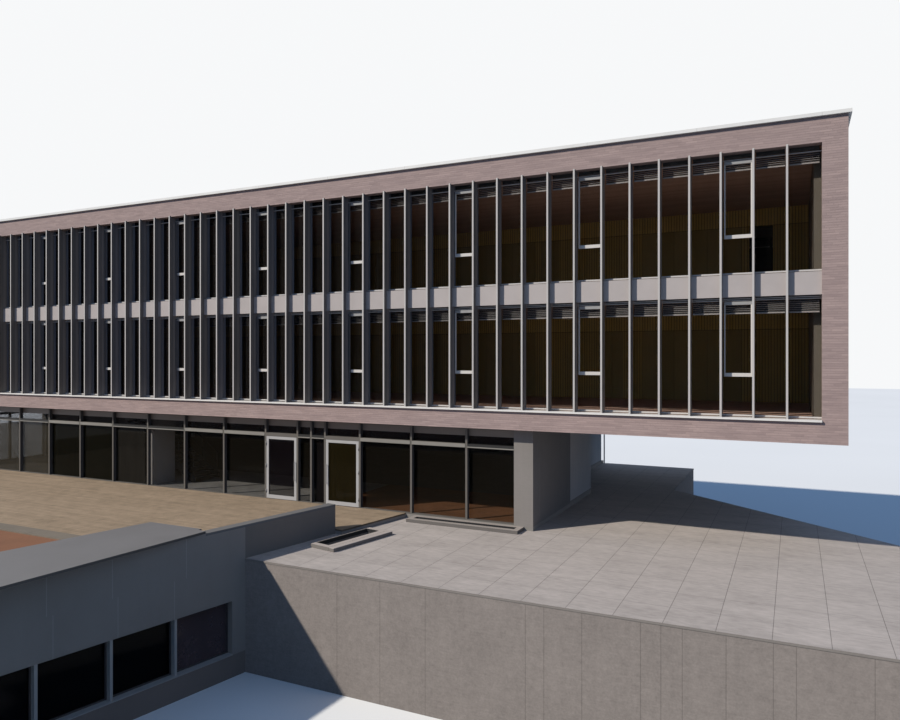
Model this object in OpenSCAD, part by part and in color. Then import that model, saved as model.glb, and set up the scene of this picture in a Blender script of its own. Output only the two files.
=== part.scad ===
// School building: a two-storey classroom block with close upright fins, carried on a
// glazed hall, over a lower storey with a paved terrace, a timber deck and a low wing.
// X runs along the front to the right, Y into the building, Z up. The origin is at the
// middle of the block's length, on its front brick face, at the foot of the lowest walls.

/* [Heights] */
// Height of the terrace paving above the foot of the walls
terrace_h = 3000; // [2800:50:3300]
// Height of the block's underside above the terrace
soffit_h = 3100; // [3000:20:3300]
// Height from one window sill to the next
storey_h = 3800; // [3600:50:4000]
// Height of the brick band under the first-floor windows
frieze_h = 590; // [560:10:660]
// Height of the pale band between the two window rows
spandrel_h = 590; // [560:10:660]
// Height of the upper windows
upper_window_h = 3240; // [3000:20:3400]
// Height of the brick band over the upper windows
lintel_h = 650; // [560:10:800]
// Thickness of the roof coping
coping_t = 90; // [60:5:140]

/* [Classroom block] */
// Width of one window bay
bay_w = 800; // [770:5:815]
// Number of window bays along the block
bay_count = 45; // [35:5:45]
// Width of the brick at each end of the windows
jamb_w = 585; // [420:5:640]
// Depth of the block from front to back
block_depth = 15500; // [15000:100:16500]
// Thickness of the brick bands at the front and back
brick_t = 350; // [320:10:420]
// How far the roof coping stands out from the brick
coping_out = 80; // [40:5:120]
// Width of the roof coping on the wall
coping_w = 450; // [360:10:560]
// Thickness of the first and second floors
floor_t = 550; // [450:10:560]
// Thickness of the roof
roof_t = 570; // [400:10:600]
// How far the finished floors lie under the window sills
floor_drop = 20; // [10:5:60]
// Depth of the front rooms, from the front face to the corridor wall
room_depth = 8200; // [7500:50:9000]
// Thickness of the corridor walls
partition_t = 150; // [100:10:200]

/* [Window fins] */
// Width of a fin seen from the front
fin_w = 52; // [40:2:80]
// Depth of a fin from front to back
fin_d = 330; // [260:5:360]
// How far the fins stand out from the brick face
fin_out = 60; // [30:5:90]
// How far the fin tips run up over the brick
fin_tip = 30; // [10:5:80]
// How far the pale band lies behind the fin fronts
spandrel_back = 170; // [120:5:200]
// Height of the rail at the foot of a window
rail_h = 40; // [30:5:60]
// Gap under that rail
rail_gap = 25; // [15:5:50]
// Height of the thin rails at the head of a window
head_rail_h = 20; // [15:5:40]
// Depth of all these rails
rail_d = 45; // [30:5:60]
// Distance of the thin rail under the upper windows' head
head_gap = 145; // [100:5:200]
// Distance of the first thin rail under the lower windows' head
lower_head_gap = 30; // [20:5:60]
// Distance from that rail to the one under it
head_rail_step = 45; // [40:5:70]
// Thickness of the glass sheets
glass_t = 20; // [12:2:30]
// Number of bays from one opening casement to the next
casement_every = 5; // [3:1:9]
// Height of a casement's foot over an upper window's sill
casement_sill = 985; // [800:5:1200]
// Height of a casement's foot over a lower window's sill
lower_casement_sill = 1095; // [900:5:1300]
// Gap between a casement's top and the rail over it
casement_gap = 20; // [10:5:40]
// Gap between a casement and the fin at its left
casement_side_gap = 40; // [20:5:60]
// Width of a casement's thin stile
hinge_stile_w = 30; // [24:2:50]
// Width of a casement's lock stile
lock_stile_w = 46; // [36:2:80]
// Height of a casement's bottom rail
casement_foot = 95; // [70:5:130]
// Height of a casement's top rail
casement_top = 85; // [60:5:110]
// Thickness of a casement frame
casement_t = 60; // [50:5:80]
// Height of a raised blind with its head box
blind_h = 420; // [300:10:500]
// Thickness of a raised blind
blind_t = 50; // [30:5:55]
// Height of the sill flashing's front face
sill_face = 50; // [30:5:80]
// Thickness of the sill flashing
sill_t = 20; // [12:2:30]

/* [Hall] */
// Distance of the hall's front behind the brick face
hall_back = 430; // [380:10:600]
// Place of the left door's left frame line
door_line = -110; // [-400:10:200]
// Width between the frame lines of a door
door_bay_w = 1440; // [1300:10:1500]
// Width of each narrow light between the doors
sidelight_w = 595; // [500:5:700]
// Width of a hall window bay
hall_bay_w = 2000; // [1900:20:2050]
// Place of the pier's left side
pier_x = 9570; // [9300:10:9800]
// Width of the pier
pier_w = 620; // [520:10:800]
// Depth of the side wall behind the brick face
side_wall_end = 7310; // [6500:10:8000]
// Step back of the hall's side wall further in
side_step = 1490; // [1200:10:1800]
// Thickness of the concrete walls of the hall
hall_wall_t = 300; // [240:10:360]
// Length of the glazed part of the hall's left end, behind its front pier
end_light_len = 3570; // [3000:10:4200]
// Height of the sill wall at the hall's rear over the terrace
rear_sill_h = 1150; // [900:10:1300]
// Height of the hall floor over the terrace
hall_floor_h = 130; // [110:5:140]
// Width of a hall mullion
mullion_w = 70; // [60:2:90]
// Depth of a hall mullion
mullion_d = 140; // [100:5:160]
// Height of the transom's underside over the terrace
transom_h = 2430; // [2300:10:2500]
// Height of the transom bar
transom_t = 120; // [80:5:140]
// Height of the pale header panels under the soffit
header_h = 300; // [240:10:340]
// Thickness of a door leaf
leaf_t = 60; // [50:2:70]
// Width of a door leaf's frame
leaf_frame_w = 100; // [80:5:130]
// Height of a door leaf's bottom rail
leaf_foot_h = 130; // [100:5:200]
// Clearance round a door leaf
leaf_gap = 8; // [7:0.5:10]
// Length of a door's pull handle
pull_len = 700; // [400:20:1000]
// Height of the handle's middle over the leaf's foot
pull_mid = 1050; // [950:10:1150]
// Radius of the handle's bar
pull_r = 14; // [10:1:18]
// Distance of the bar from the leaf
pull_out = 55; // [45:5:80]
// Radius of a hinge knuckle
knuckle_r = 12; // [9:1:14]
// Height of each half of a hinge knuckle
knuckle_h = 60; // [40:5:80]
// Clearance under a door leaf
leaf_foot_gap = 15; // [10:1:20]
// Distance of the end hinges from a leaf's foot and top
hinge_inset = 200; // [150:10:300]

/* [Stair in the hall] */
// Number of risers
risers = 20; // [19:1:22]
// Depth of a tread's going
going = 280; // [260:5:295]
// Width of the flight
stair_w = 1300; // [1100:20:1500]
// Place of the first riser
stair_foot = -5000; // [-5300:20:-4800]
// Distance of the flight behind the hall's front
stair_in = 1520; // [1400:10:1800]
// Thickness of a tread
tread_t = 50; // [40:5:70]
// Thickness of a stair string
string_t = 50; // [40:5:80]

/* [Terrace and deck] */
// Distance of the terrace's front wall before the brick face
terrace_front = 5640; // [5400:20:6000]
// Place of the terrace's right end
terrace_end = 20640; // [20000:20:20700]
// Where the terrace's slanting edge begins at the right end
slant_start = 2750; // [2000:50:3500]
// Place of the slanting edge's far end, along the building
slant_end_x = 13020; // [12400:20:13200]
// Place of the slanting edge's far end, behind the brick face
slant_end_y = 9370; // [9000:20:9800]
// Thickness of the outer walls of the lower storey
wall_t = 300; // [240:10:360]
// Thickness of the lower storey's floor
base_t = 250; // [200:10:300]
// Thickness of the slab under the terrace, the deck and the hall
slab_t = 300; // [250:10:400]
// Thickness of the paving on the terrace
paving_t = 50; // [40:5:80]
// How far the paving stands out over the terrace walls
paving_out = 12; // [5:1:20]
// Height of the timber deck over the terrace
deck_h = 150; // [145:5:180]
// Thickness of the timber deck
board_t = 50; // [30:5:80]
// How far the deck runs out to the right of the wing's wall
deck_out = 270; // [200:10:400]
// Place of the kerb's front face before the brick face
kerb_front = 8730; // [8500:10:9000]
// Width of the kerb
kerb_w = 450; // [380:10:500]
// Height of the kerb over the terrace
kerb_h = 880; // [800:10:940]
// Width of the movement joints between lengths of wall
joint_w = 4; // [2:1:8]
// Gap between pieces that seat against each other on a slant
seat_gap = 0.3; // [0.2:0.1:0.5]

/* [Wing] */
// Angle of the wing's right-hand wall to the depth of the building
wing_turn = 11; // [9:0.5:12]
// Place of the corner where the wing meets the terrace's front wall
wing_x = 4310; // [4200:10:4500]
// Length of the wing's right-hand wall before the corner
wing_len = 8800; // [8750:10:9200]
// Place of the wing's left side
wing_left = -6000; // [-7000:50:-5000]
// Length of the upstand behind the corner
upstand_len = 3280; // [3000:20:3500]
// Height of the upstand over the terrace
upstand_h = 885; // [800:5:900]
// Where the wide coping begins before the corner
coping_start = 1200; // [1100:10:1300]
// Width of the wide coping at its far end
wide_coping_w = 2050; // [1900:10:2200]
// How far the wide coping stands out from the wall at the near end
coping_flare = 1020; // [700:10:1200]
// How far the raised roof runs on past the wide coping's outer corner
raised_past = 80; // [60:10:150]
// Width of the beam under the raised roof's edge
raised_beam_w = 250; // [200:10:350]
// Thickness of the copings
wing_coping_t = 60; // [40:5:80]
// Height of the play surface over the terrace
play_h = 850; // [780:10:860]
// Height of the wing roof over the terrace
wing_roof_h = 500; // [450:10:540]
// Number of wing windows
wing_panes = 5; // [3:1:6]
// Distance of the first wing window from the corner
wing_pane_start = 410; // [380:10:500]
// Length of the wall left at the near end of the wing windows
wing_pane_rest = 400; // [340:10:700]
// Depth of the window sill under the terrace
wing_sill = 2420; // [2300:10:2500]
// Depth of the window head under the terrace
wing_head = 1020; // [950:10:1100]
// Width of a post between two wing windows
post_w = 66; // [50:2:90]
// Depth of a wing window post
post_d = 190; // [140:5:200]
// Width of the sash round a wing window
sash_w = 30; // [24:2:50]
// Depth of the sash
sash_d = 50; // [40:5:70]
// Distance of the wing windows' glass from the inside of the wall
wing_glass_in = 50; // [30:5:70]
// Thickness of the sill board under the wing windows
sill_board_t = 25; // [20:5:40]
// How far the sill board stands out from the wall
sill_board_out = 20; // [10:5:40]

/* [Light wells] */
// Height of the kerbs round the light wells
well_kerb_h = 107; // [80:5:130]
// Width of those kerbs
well_kerb_w = 200; // [150:5:220]
// Width of the side light well's kerb on the side of the wing
thin_kerb_w = 60; // [50:5:80]
// Clear width of the side light well
side_well_w = 440; // [400:10:560]
// Clear length of the side light well
side_well_len = 2000; // [1800:20:2300]
// Distance of the side light well's kerb behind the wing's corner
side_well_at = 1780; // [1600:20:1900]
// Distance of that kerb from the wing's wall
side_well_out = 430; // [420:10:600]
// Place of the front light well's left end
front_well_x = 6300; // [6200:20:6600]
// Length of the front light well
front_well_len = 3400; // [3000:20:3500]
// Depth of the front light well's clear slot
front_well_d = 190; // [150:10:260]

/* [Hidden] */
$fn = 32;

// Heights over the foot of the walls
soffit_z = terrace_h + soffit_h;
sill_z = soffit_z + frieze_h;
upper_sill_z = sill_z + storey_h;
lower_head_z = upper_sill_z - spandrel_h;
upper_head_z = upper_sill_z + upper_window_h;
brick_top_z = upper_head_z + lintel_h;
first_floor_z = sill_z - floor_drop;
second_floor_z = upper_sill_z - 2 * floor_drop;
hall_floor_z = terrace_h + hall_floor_h;
transom_z = terrace_h + transom_h;
header_z = soffit_z - header_h;
deck_z = terrace_h + deck_h;
bed_z = terrace_h - paving_t;
slab_z = terrace_h - slab_t;
wing_roof_z = terrace_h + wing_roof_h;
rear_sill_z = terrace_h + rear_sill_h;

// Places along the block
window_half = bay_w * bay_count / 2;
block_half = window_half + jamb_w;

// Places across the window wall, from the front brick face inwards
fin_back_y = fin_d - fin_out;
glass_back_y = fin_back_y + glass_t;
spandrel_y = spandrel_back - fin_out;

// Lines of the hall's front
hall_glass_y = hall_back + mullion_d;
header_t = 50;
left_door_end = door_line + door_bay_w;
middle_line = left_door_end + sidelight_w;
right_door_start = middle_line + sidelight_w;
right_door_end = right_door_start + door_bay_w;
left_pier_end = -block_half + pier_w;
left_lines = floor((door_line - left_pier_end) / hall_bay_w);
right_lines = floor((pier_x - right_door_end) / hall_bay_w);
half_mullion = mullion_w / 2;
hall_side_x = pier_x + pier_w;
rear_side_x = hall_side_x - side_step;
hall_rear_y = block_depth - hall_back;

// Outline of the lower storey, anticlockwise, and the same drawn in by the wall
wing_dir = [sin(wing_turn), cos(wing_turn)];
wing_normal = [cos(wing_turn), -sin(wing_turn)];
wing_corner = [wing_x, -terrace_front];
wing_near = wing_corner - wing_len * wing_dir;
wing_far_left = [wing_left, wing_near[1] + (wing_near[0] - wing_left) * tan(wing_turn)];
OUTLINE = [
    [-block_half, -kerb_front], [wing_left, -kerb_front], wing_far_left, wing_near,
    wing_corner, [terrace_end, -terrace_front], [terrace_end, slant_start], [slant_end_x, slant_end_y],
    [slant_end_x, block_depth], [rear_side_x, block_depth], [-block_half, block_depth]];

function left_of(a, b) = let (d = b - a) [-d[1], d[0]] / norm(d);
function inset(points, t) = let (n = len(points)) [
    for (i = [0:n - 1])
        let (before = left_of(points[(i + n - 1) % n], points[i]))
        let (after = left_of(points[i], points[(i + 1) % n]))
        points[i] + t * (before + after) / (1 + before * after)];
INNER = inset(OUTLINE, wall_t);
FLOOR_EDGE = inset(OUTLINE, wall_t + seat_gap);
PAVING_EDGE = inset(OUTLINE, -paving_out);

// A point on the wing's right-hand wall: along it from the corner, and out from its face
function on_wing(along, out = 0) = wing_corner + along * wing_dir + out * wing_normal;
// The place on a line parallel to that wall where it meets a given depth
function wing_at(y, out = 0) = let (foot = on_wing(0, out))
    [foot[0] + (y - foot[1]) * tan(wing_turn), y];
// Where the terrace and the upstand end, just clear of the mitre behind the wing's corner
MITRE_END = [OUTLINE[4] + [2 * seat_gap, 0], wing_at(FLOOR_EDGE[5][1], -wall_t)];

// Corners of the raised roof of the wing, where the deck meets it
wide_far_y = on_wing(-coping_start, -wall_t)[1] + raised_past;
wide_bend = wing_at(wide_far_y, -wide_coping_w);
wide_kerb_back = wing_at(-kerb_front + kerb_w, -wide_coping_w);
wide_kerb_front = wing_at(-kerb_front, -wide_coping_w);
wide_near = on_wing(-wing_len, -wide_coping_w);

// Rooms on the corridor wall
room_module = 8000;
room_modules = 4;
doorway_w = 800;
doorway_h = 2650;
upper_door_x = 15860;
lower_door_x = 10450;
cupboard_x = 12000;
cupboard_w = 3600;
cupboard_t = 30;
leaf_in = 40;

module prism(points, z0, z1) {
    translate([0, 0, z0]) linear_extrude(z1 - z0) polygon(points);
}

module box(from, to) {
    translate(from) cube(to - from);
}

// Draws its children at the front of the block and mirrored at the back
module front_and_back() {
    children();
    translate([0, block_depth, 0]) mirror([0, 1, 0]) children();
}

// A box on the wing's right-hand wall, between two corners given as out, along and up
module wing_box(from, to) {
    prism([
        on_wing(from[1], from[0]), on_wing(from[1], to[0]), on_wing(to[1], to[0]), on_wing(to[1], from[0])],
        from[2], to[2]);
}

// One straight length of outer wall on side i of the outline, mitred at its corners
module outer_wall(i, z1, start_gap = 0, end_gap = 0) {
    j = (i + 1) % len(OUTLINE);
    along = (OUTLINE[j] - OUTLINE[i]) / norm(OUTLINE[j] - OUTLINE[i]);
    prism([
        OUTLINE[i] + start_gap * along, OUTLINE[j] - end_gap * along,
        INNER[j] - end_gap * along, INNER[i] + start_gap * along], 0, z1);
}

module lower_floor() {
    color("darkgray") prism(FLOOR_EDGE, 0, base_t);
}

module lower_outer_walls() {
    color("gray") {
        outer_wall(0, slab_z, 0, joint_w);
        difference() {
            outer_wall(1, wing_roof_z, 0, joint_w);
            box([wing_left - 1, -kerb_front, slab_z],
                [wing_left + wall_t + 1, -kerb_front + 2 * wall_t, wing_roof_z + 1]);
        }
        outer_wall(2, wing_roof_z);
        outer_wall(9, slab_z, joint_w, 0);
        outer_wall(10, slab_z, joint_w, joint_w);
    }
}

module terrace_front_wall() {
    color("rosybrown") outer_wall(4, bed_z);
}

module terrace_side_walls() {
    color("rosybrown") {
        outer_wall(5, bed_z, 0, joint_w);
        outer_wall(6, bed_z, 0, joint_w);
        outer_wall(7, bed_z, 0, joint_w);
        outer_wall(8, bed_z);
    }
}

// The wing's right-hand wall has its own outline at the two mitres
module wing_wall_plan(z0, z1) {
    prism([OUTLINE[3], OUTLINE[4], INNER[4], INNER[3]], z0, z1);
}

wing_sill_z = terrace_h - wing_sill;
wing_head_z = terrace_h - wing_head;
wing_board_z = wing_sill_z + sill_board_t;
wing_pane_end = wing_len - wing_pane_rest;
wing_pane_w = (wing_pane_end - wing_pane_start) / wing_panes;

module wing_sill_wall() {
    color("slategray") difference() {
        wing_wall_plan(0, wing_head_z);
        wing_box([-2 * wall_t, -wing_pane_end, wing_sill_z],
            [wall_t, -wing_pane_start, wing_head_z + 1]);
    }
}

// Heights of the wall under the thin coping and under the wide one
thin_seat_z = terrace_h + upstand_h - wing_coping_t;
wide_seat_z = terrace_h + upstand_h;

module wing_upper_wall() {
    color("slategray") difference() {
        wing_wall_plan(wing_head_z, wide_seat_z);
        wing_box([-2 * wall_t, -coping_start, thin_seat_z], [wall_t, 2 * wall_t, wide_seat_z + 1]);
    }
}

// Depth in the wall where the glass meets the back of the window frame
wing_glass_out = glass_t + wing_glass_in - wall_t;

// The clear light of pane i, counted from the corner, between its sash bars
module wing_light(i) {
    near = i == wing_panes ? 0 : post_w / 2;
    far = i == 1 ? 0 : post_w / 2;
    start = -wing_pane_start - i * wing_pane_w;
    wing_box([wing_glass_out - 1, start + near + sash_w, wing_board_z + sash_w],
        [wing_glass_out + sash_d + 1, start + wing_pane_w - far - sash_w, wing_head_z - sash_w]);
}

// A board on the sill, sashes at the glass, and a deep post between each two panes
module wing_window_frames() {
    color("gainsboro") {
        wing_box([wing_glass_out, -wing_pane_end + seat_gap, wing_sill_z],
            [sill_board_out, -wing_pane_start - seat_gap, wing_board_z]);
        difference() {
            wing_box([wing_glass_out, -wing_pane_end + seat_gap, wing_board_z],
                [wing_glass_out + sash_d, -wing_pane_start - seat_gap, wing_head_z]);
            for (i = [1:wing_panes]) wing_light(i);
        }
        for (i = [1:wing_panes - 1]) {
            line = -wing_pane_start - i * wing_pane_w;
            wing_box([wing_glass_out, line - post_w / 2, wing_board_z],
                [wing_glass_out + post_d, line + post_w / 2, wing_head_z]);
        }
    }
}

module wing_glass() {
    color("darkslategray") wing_box(
        [wing_glass_out - glass_t, -wing_pane_end + seat_gap, wing_sill_z],
        [wing_glass_out - seat_gap, -wing_pane_start - seat_gap, wing_head_z]);
}

deck_kerb_back = -kerb_front + kerb_w;

// Corners of the raised roof that the wing's roof, its beam and the coping's bed share
RAISED_EDGE = [
    wide_kerb_front, wide_kerb_back, wide_bend, wing_at(wide_far_y, -wall_t - seat_gap)];

// The wing's roof, with a beam under the edge that meets the deck
module wing_roof_slab() {
    beam_inner_y = wide_far_y - raised_beam_w;
    beam_inner_out = raised_beam_w - wide_coping_w;
    color("gray") {
        prism(concat(RAISED_EDGE, [FLOOR_EDGE[3], FLOOR_EDGE[2], [FLOOR_EDGE[1][0], -kerb_front]]),
            wing_roof_z - slab_t, wing_roof_z);
        prism(concat(RAISED_EDGE, [
            wing_at(beam_inner_y, -wall_t - seat_gap), wing_at(beam_inner_y, beam_inner_out),
            wing_at(-kerb_front, beam_inner_out)]), slab_z, wing_roof_z - slab_t);
    }
}

// The wide coping lies over the wall and its own raised bed, and stands out more and more
module wing_coping() {
    far_side = on_wing(-coping_start - joint_w);
    far_left = on_wing(-coping_start - joint_w, -wall_t - seat_gap);
    color("dimgray") {
        prism(concat(RAISED_EDGE, [far_left, far_side, on_wing(-wing_len, coping_flare), wide_near]),
            wide_seat_z, wide_seat_z + wing_coping_t);
        prism(concat(RAISED_EDGE, [
            on_wing(-wing_len + wall_t - seat_gap, -wall_t - seat_gap), on_wing(-wing_len, -2 * seat_gap),
            wide_near]), wing_roof_z, wide_seat_z);
    }
}

// Inner corners of the kerbs on the wing's near end and left side
near_kerb_inner = wide_near + kerb_w * wing_dir;
left_kerb_inner = wing_far_left + kerb_w * [1, 1 / cos(wing_turn) - tan(wing_turn)];
near_joint = joint_w * wing_normal;

module wing_edge_copings() {
    color("silver") {
        wing_box([-wall_t, -coping_start, thin_seat_z], [0, upstand_len, thin_seat_z + wing_coping_t]);
        prism([
            [wing_left, -kerb_front - joint_w], wing_far_left, left_kerb_inner,
            [wing_left + kerb_w, -kerb_front - joint_w]], wing_roof_z, terrace_h + kerb_h);
        prism([
            wing_far_left + near_joint, wide_near, near_kerb_inner, left_kerb_inner + near_joint],
            wing_roof_z, terrace_h + kerb_h);
    }
}

module play_surface() {
    side_gap = [-seat_gap, 0];
    near_gap = seat_gap * wing_dir;
    color("sienna") prism([
        wide_kerb_front + side_gap, near_kerb_inner + side_gap + near_gap, left_kerb_inner + near_gap,
        [left_kerb_inner[0] + near_gap[0], -kerb_front]], wing_roof_z, terrace_h + play_h);
}

module wing_upstand() {
    color("slategray") prism([
        MITRE_END[0], on_wing(upstand_len - seat_gap), on_wing(upstand_len - seat_gap, -wall_t),
        MITRE_END[1]], terrace_h, thin_seat_z);
}

// Right-hand edge of the deck, from the wing's raised roof to the hall
DECK_EDGE = [
    wing_at(wide_far_y, -wall_t - seat_gap), on_wing(upstand_len, -wall_t - seat_gap),
    on_wing(upstand_len, deck_out), wing_at(hall_back, deck_out)];

module deck_plan(z0, z1) {
    prism(concat(
        [[-block_half + kerb_w, deck_kerb_back], wide_kerb_back, wide_bend], DECK_EDGE,
        [[-block_half + kerb_w, hall_back]]), z0, z1);
}

module deck_slab() {
    color("gray") deck_plan(slab_z, deck_z - board_t);
}

module timber_deck() {
    color("burlywood") deck_plan(deck_z - board_t, deck_z);
}

module deck_kerb() {
    color("lightgray") {
        prism([
            [-block_half, -kerb_front], wide_kerb_front, wide_kerb_back,
            [-block_half, deck_kerb_back]], slab_z, terrace_h + kerb_h);
        box([-block_half, deck_kerb_back + joint_w, slab_z],
            [-block_half + kerb_w, hall_back, terrace_h + kerb_h]);
    }
}

// Clear opening of the side light well, beside the upstand, widened by a margin on the side
// of the wing and by another on its other sides
module side_well(wing_margin, margin, z0, z1) {
    out = side_well_out + well_kerb_w;
    along = side_well_at + well_kerb_w;
    wing_box([out - wing_margin, along - margin, z0],
        [out + side_well_w + margin, along + side_well_len + margin, z1]);
}

front_well_y = hall_back - well_kerb_w - front_well_d;

// Clear slot of the front light well, before the hall's glass, widened by the given margin
module front_well(margin, z0, z1) {
    box([front_well_x - margin, front_well_y - margin, z0],
        [front_well_x + front_well_len + margin, front_well_y + front_well_d + margin, z1]);
}

// Inner edges of the terrace, from its back wall round the hall and the deck to the upstand
TERRACE_INNER_EDGE = [
    [rear_side_x, side_wall_end], [hall_side_x, side_wall_end], [hall_side_x, hall_back],
    wing_at(hall_back, deck_out + seat_gap), on_wing(upstand_len - seat_gap, deck_out + seat_gap),
    on_wing(upstand_len - seat_gap, -wall_t)];

// The slab lies between the walls, and its paving runs out over the outer ones
module terrace_slab() {
    overhang = [0, -paving_out];
    color("silver") difference() {
        union() {
            prism(concat([MITRE_END[1]], [for (i = [5:9]) FLOOR_EDGE[i]], TERRACE_INNER_EDGE),
                slab_z, terrace_h);
            prism(concat([MITRE_END[1], MITRE_END[0], MITRE_END[0] + overhang],
                [for (i = [5:8]) PAVING_EDGE[i]], [[rear_side_x, PAVING_EDGE[8][1]]],
                TERRACE_INNER_EDGE), bed_z, terrace_h);
        }
        side_well(0, 0, slab_z - 1, terrace_h + 1);
        front_well(0, slab_z - 1, terrace_h + 1);
    }
}

module light_well_kerbs() {
    kerb_top = terrace_h + well_kerb_h;
    color("darkgray") {
        difference() {
            side_well(thin_kerb_w, well_kerb_w, terrace_h, kerb_top);
            side_well(0, 0, terrace_h - 1, kerb_top + 1);
        }
        difference() {
            front_well(well_kerb_w, terrace_h, kerb_top);
            front_well(0, terrace_h - 1, kerb_top + 1);
        }
    }
}

module ground_floor_slab() {
    color("indianred") prism([
        [-block_half, hall_back], [hall_side_x, hall_back], [hall_side_x, side_wall_end],
        [rear_side_x, side_wall_end], [rear_side_x, block_depth], [-block_half, block_depth]],
        slab_z, hall_floor_z);
}

fin_wall_x = -6200;
fin_wall_len = 1150;
column_w = 500;

module hall_walls() {
    column_y = hall_glass_y + glass_t + header_t;
    color("gray") {
        box([-block_half, hall_back + pier_w + end_light_len, hall_floor_z],
            [-block_half + hall_wall_t, hall_rear_y - pier_w - joint_w, soffit_z]);
        box([left_pier_end + joint_w, hall_rear_y - hall_wall_t, hall_floor_z],
            [rear_side_x - hall_wall_t - joint_w, hall_rear_y, rear_sill_z]);
        box([pier_x, hall_back, hall_floor_z], [hall_side_x, hall_back + pier_w, soffit_z]);
        box([hall_side_x - hall_wall_t, hall_back + pier_w + joint_w, hall_floor_z],
            [hall_side_x, side_wall_end - hall_wall_t - joint_w, soffit_z]);
        box([rear_side_x - hall_wall_t, side_wall_end - hall_wall_t, hall_floor_z],
            [hall_side_x, side_wall_end, soffit_z]);
        box([rear_side_x - hall_wall_t, side_wall_end + joint_w, hall_floor_z],
            [rear_side_x, hall_rear_y, soffit_z]);
        box([-block_half, hall_back, hall_floor_z], [left_pier_end, hall_back + pier_w, soffit_z]);
        box([-block_half, hall_rear_y - pier_w, hall_floor_z], [left_pier_end, hall_rear_y, soffit_z]);
        box([fin_wall_x - hall_wall_t / 2, column_y, hall_floor_z],
            [fin_wall_x + hall_wall_t / 2, column_y + fin_wall_len, soffit_z]);
        box([right_door_start - column_w, column_y, hall_floor_z],
            [right_door_start, column_y + column_w, soffit_z]);
    }
}

riser_h = (first_floor_z - hall_floor_z) / risers;
stair_y = hall_back + stair_in;
stair_top_x = stair_foot - (risers - 1) * going;

module stair_treads() {
    color("lightgray") for (i = [1:risers - 1])
        box([stair_foot - i * going, stair_y, hall_floor_z + i * riser_h - tread_t],
            [stair_foot - (i - 1) * going, stair_y + stair_w, hall_floor_z + i * riser_h]);
}

module stair_strings() {
    rise = first_floor_z - hall_floor_z;
    color("silver") for (y = [stair_y - string_t, stair_y + stair_w])
        translate([0, y + string_t, 0]) rotate([90, 0, 0]) linear_extrude(string_t) polygon([
            [stair_foot, hall_floor_z], [stair_foot - going, hall_floor_z],
            [stair_top_x, hall_floor_z + rise - 2 * riser_h], [stair_top_x, hall_floor_z + rise],
            [stair_foot, hall_floor_z + riser_h]]);
}

// The hole over the flight begins after a few goings, where a climber's head needs it
covered_goings = 5;
stair_clear = 10;

module stairwell(z0, z1) {
    side = string_t + stair_clear;
    box([stair_top_x, stair_y - side, z0],
        [stair_foot - covered_goings * going, stair_y + stair_w + side, z1]);
}

// Lines of the hall's mullions between two places, each centred on its line
LEFT_LINES = [for (i = [left_lines:-1:1]) door_line - i * hall_bay_w];
RIGHT_LINES = [for (i = [1:right_lines]) right_door_end + i * hall_bay_w];

// One stretch of hall framing: rails from end to end and a mullion on each line
module framing(x0, x1, lines, foot = hall_floor_z) {
    for (x = lines)
        box([x - half_mullion, hall_back, foot], [x + half_mullion, hall_glass_y, soffit_z]);
    box([x0, hall_back, foot], [x1, hall_glass_y, foot + half_mullion]);
    box([x0, hall_back, transom_z], [x1, hall_glass_y, transom_z + transom_t]);
    box([x0, hall_back, soffit_z - mullion_w], [x1, hall_glass_y, soffit_z]);
}

rear_lines = floor((rear_side_x - hall_wall_t - left_pier_end) / hall_bay_w);
REAR_LINES = [for (i = [1:rear_lines]) left_pier_end + i * hall_bay_w];
end_bays = round(end_light_len / hall_bay_w);
END_LINES = [for (i = [1:end_bays - 1]) i * end_light_len / end_bays];

// Draws its children along the hall's left end: X from its front pier to the back
module by_left_end() {
    translate([-block_half - hall_back, hall_back + pier_w, 0]) rotate(90) mirror([0, 1, 0]) children();
}

module hall_frames() {
    color("gray") {
        framing(left_pier_end, door_line + half_mullion, concat(LEFT_LINES, door_line));
        framing(left_door_end - half_mullion, right_door_start + half_mullion,
            [left_door_end, middle_line, right_door_start]);
        framing(right_door_end - half_mullion, pier_x, concat(right_door_end, RIGHT_LINES));
        translate([0, block_depth, 0]) mirror([0, 1, 0])
            framing(left_pier_end, rear_side_x - hall_wall_t, REAR_LINES, rear_sill_z);
        by_left_end() framing(0, end_light_len, END_LINES);
        hinges_on_frame(left_hinge_x, -1);
        hinges_on_frame(right_hinge_x, 1);
    }
}

module door_heads() {
    color("gray") for (x = [door_line, right_door_start])
        box([x + half_mullion, hall_back, transom_z],
            [x + door_bay_w - half_mullion, hall_glass_y, transom_z + transom_t]);
}

module hall_header() {
    color("gainsboro") {
        box([left_pier_end, hall_glass_y, header_z], [pier_x, hall_glass_y + header_t, soffit_z]);
        translate([0, block_depth, 0]) mirror([0, 1, 0])
            box([left_pier_end, hall_glass_y, header_z],
                [rear_side_x - hall_wall_t, hall_glass_y + header_t, soffit_z]);
        by_left_end()
            box([0, hall_glass_y, header_z], [end_light_len, hall_glass_y + glass_t, soffit_z]);
    }
}

module pane(x0, x1, z0) {
    box([x0, hall_glass_y, z0], [x1, hall_glass_y + glass_t, header_z]);
}

module hall_glass() {
    color("darkslategray") {
        pane(left_pier_end, door_line + half_mullion, hall_floor_z);
        pane(left_door_end - half_mullion, right_door_start + half_mullion, hall_floor_z);
        pane(right_door_end - half_mullion, pier_x, hall_floor_z);
        pane(door_line + half_mullion + joint_w, left_door_end - half_mullion - joint_w, transom_z);
        pane(right_door_start + half_mullion + joint_w, right_door_end - half_mullion - joint_w, transom_z);
        translate([0, block_depth, 0]) mirror([0, 1, 0])
            pane(left_pier_end, rear_side_x - hall_wall_t, rear_sill_z);
        by_left_end() pane(0, end_light_len, hall_floor_z);
    }
}

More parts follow.
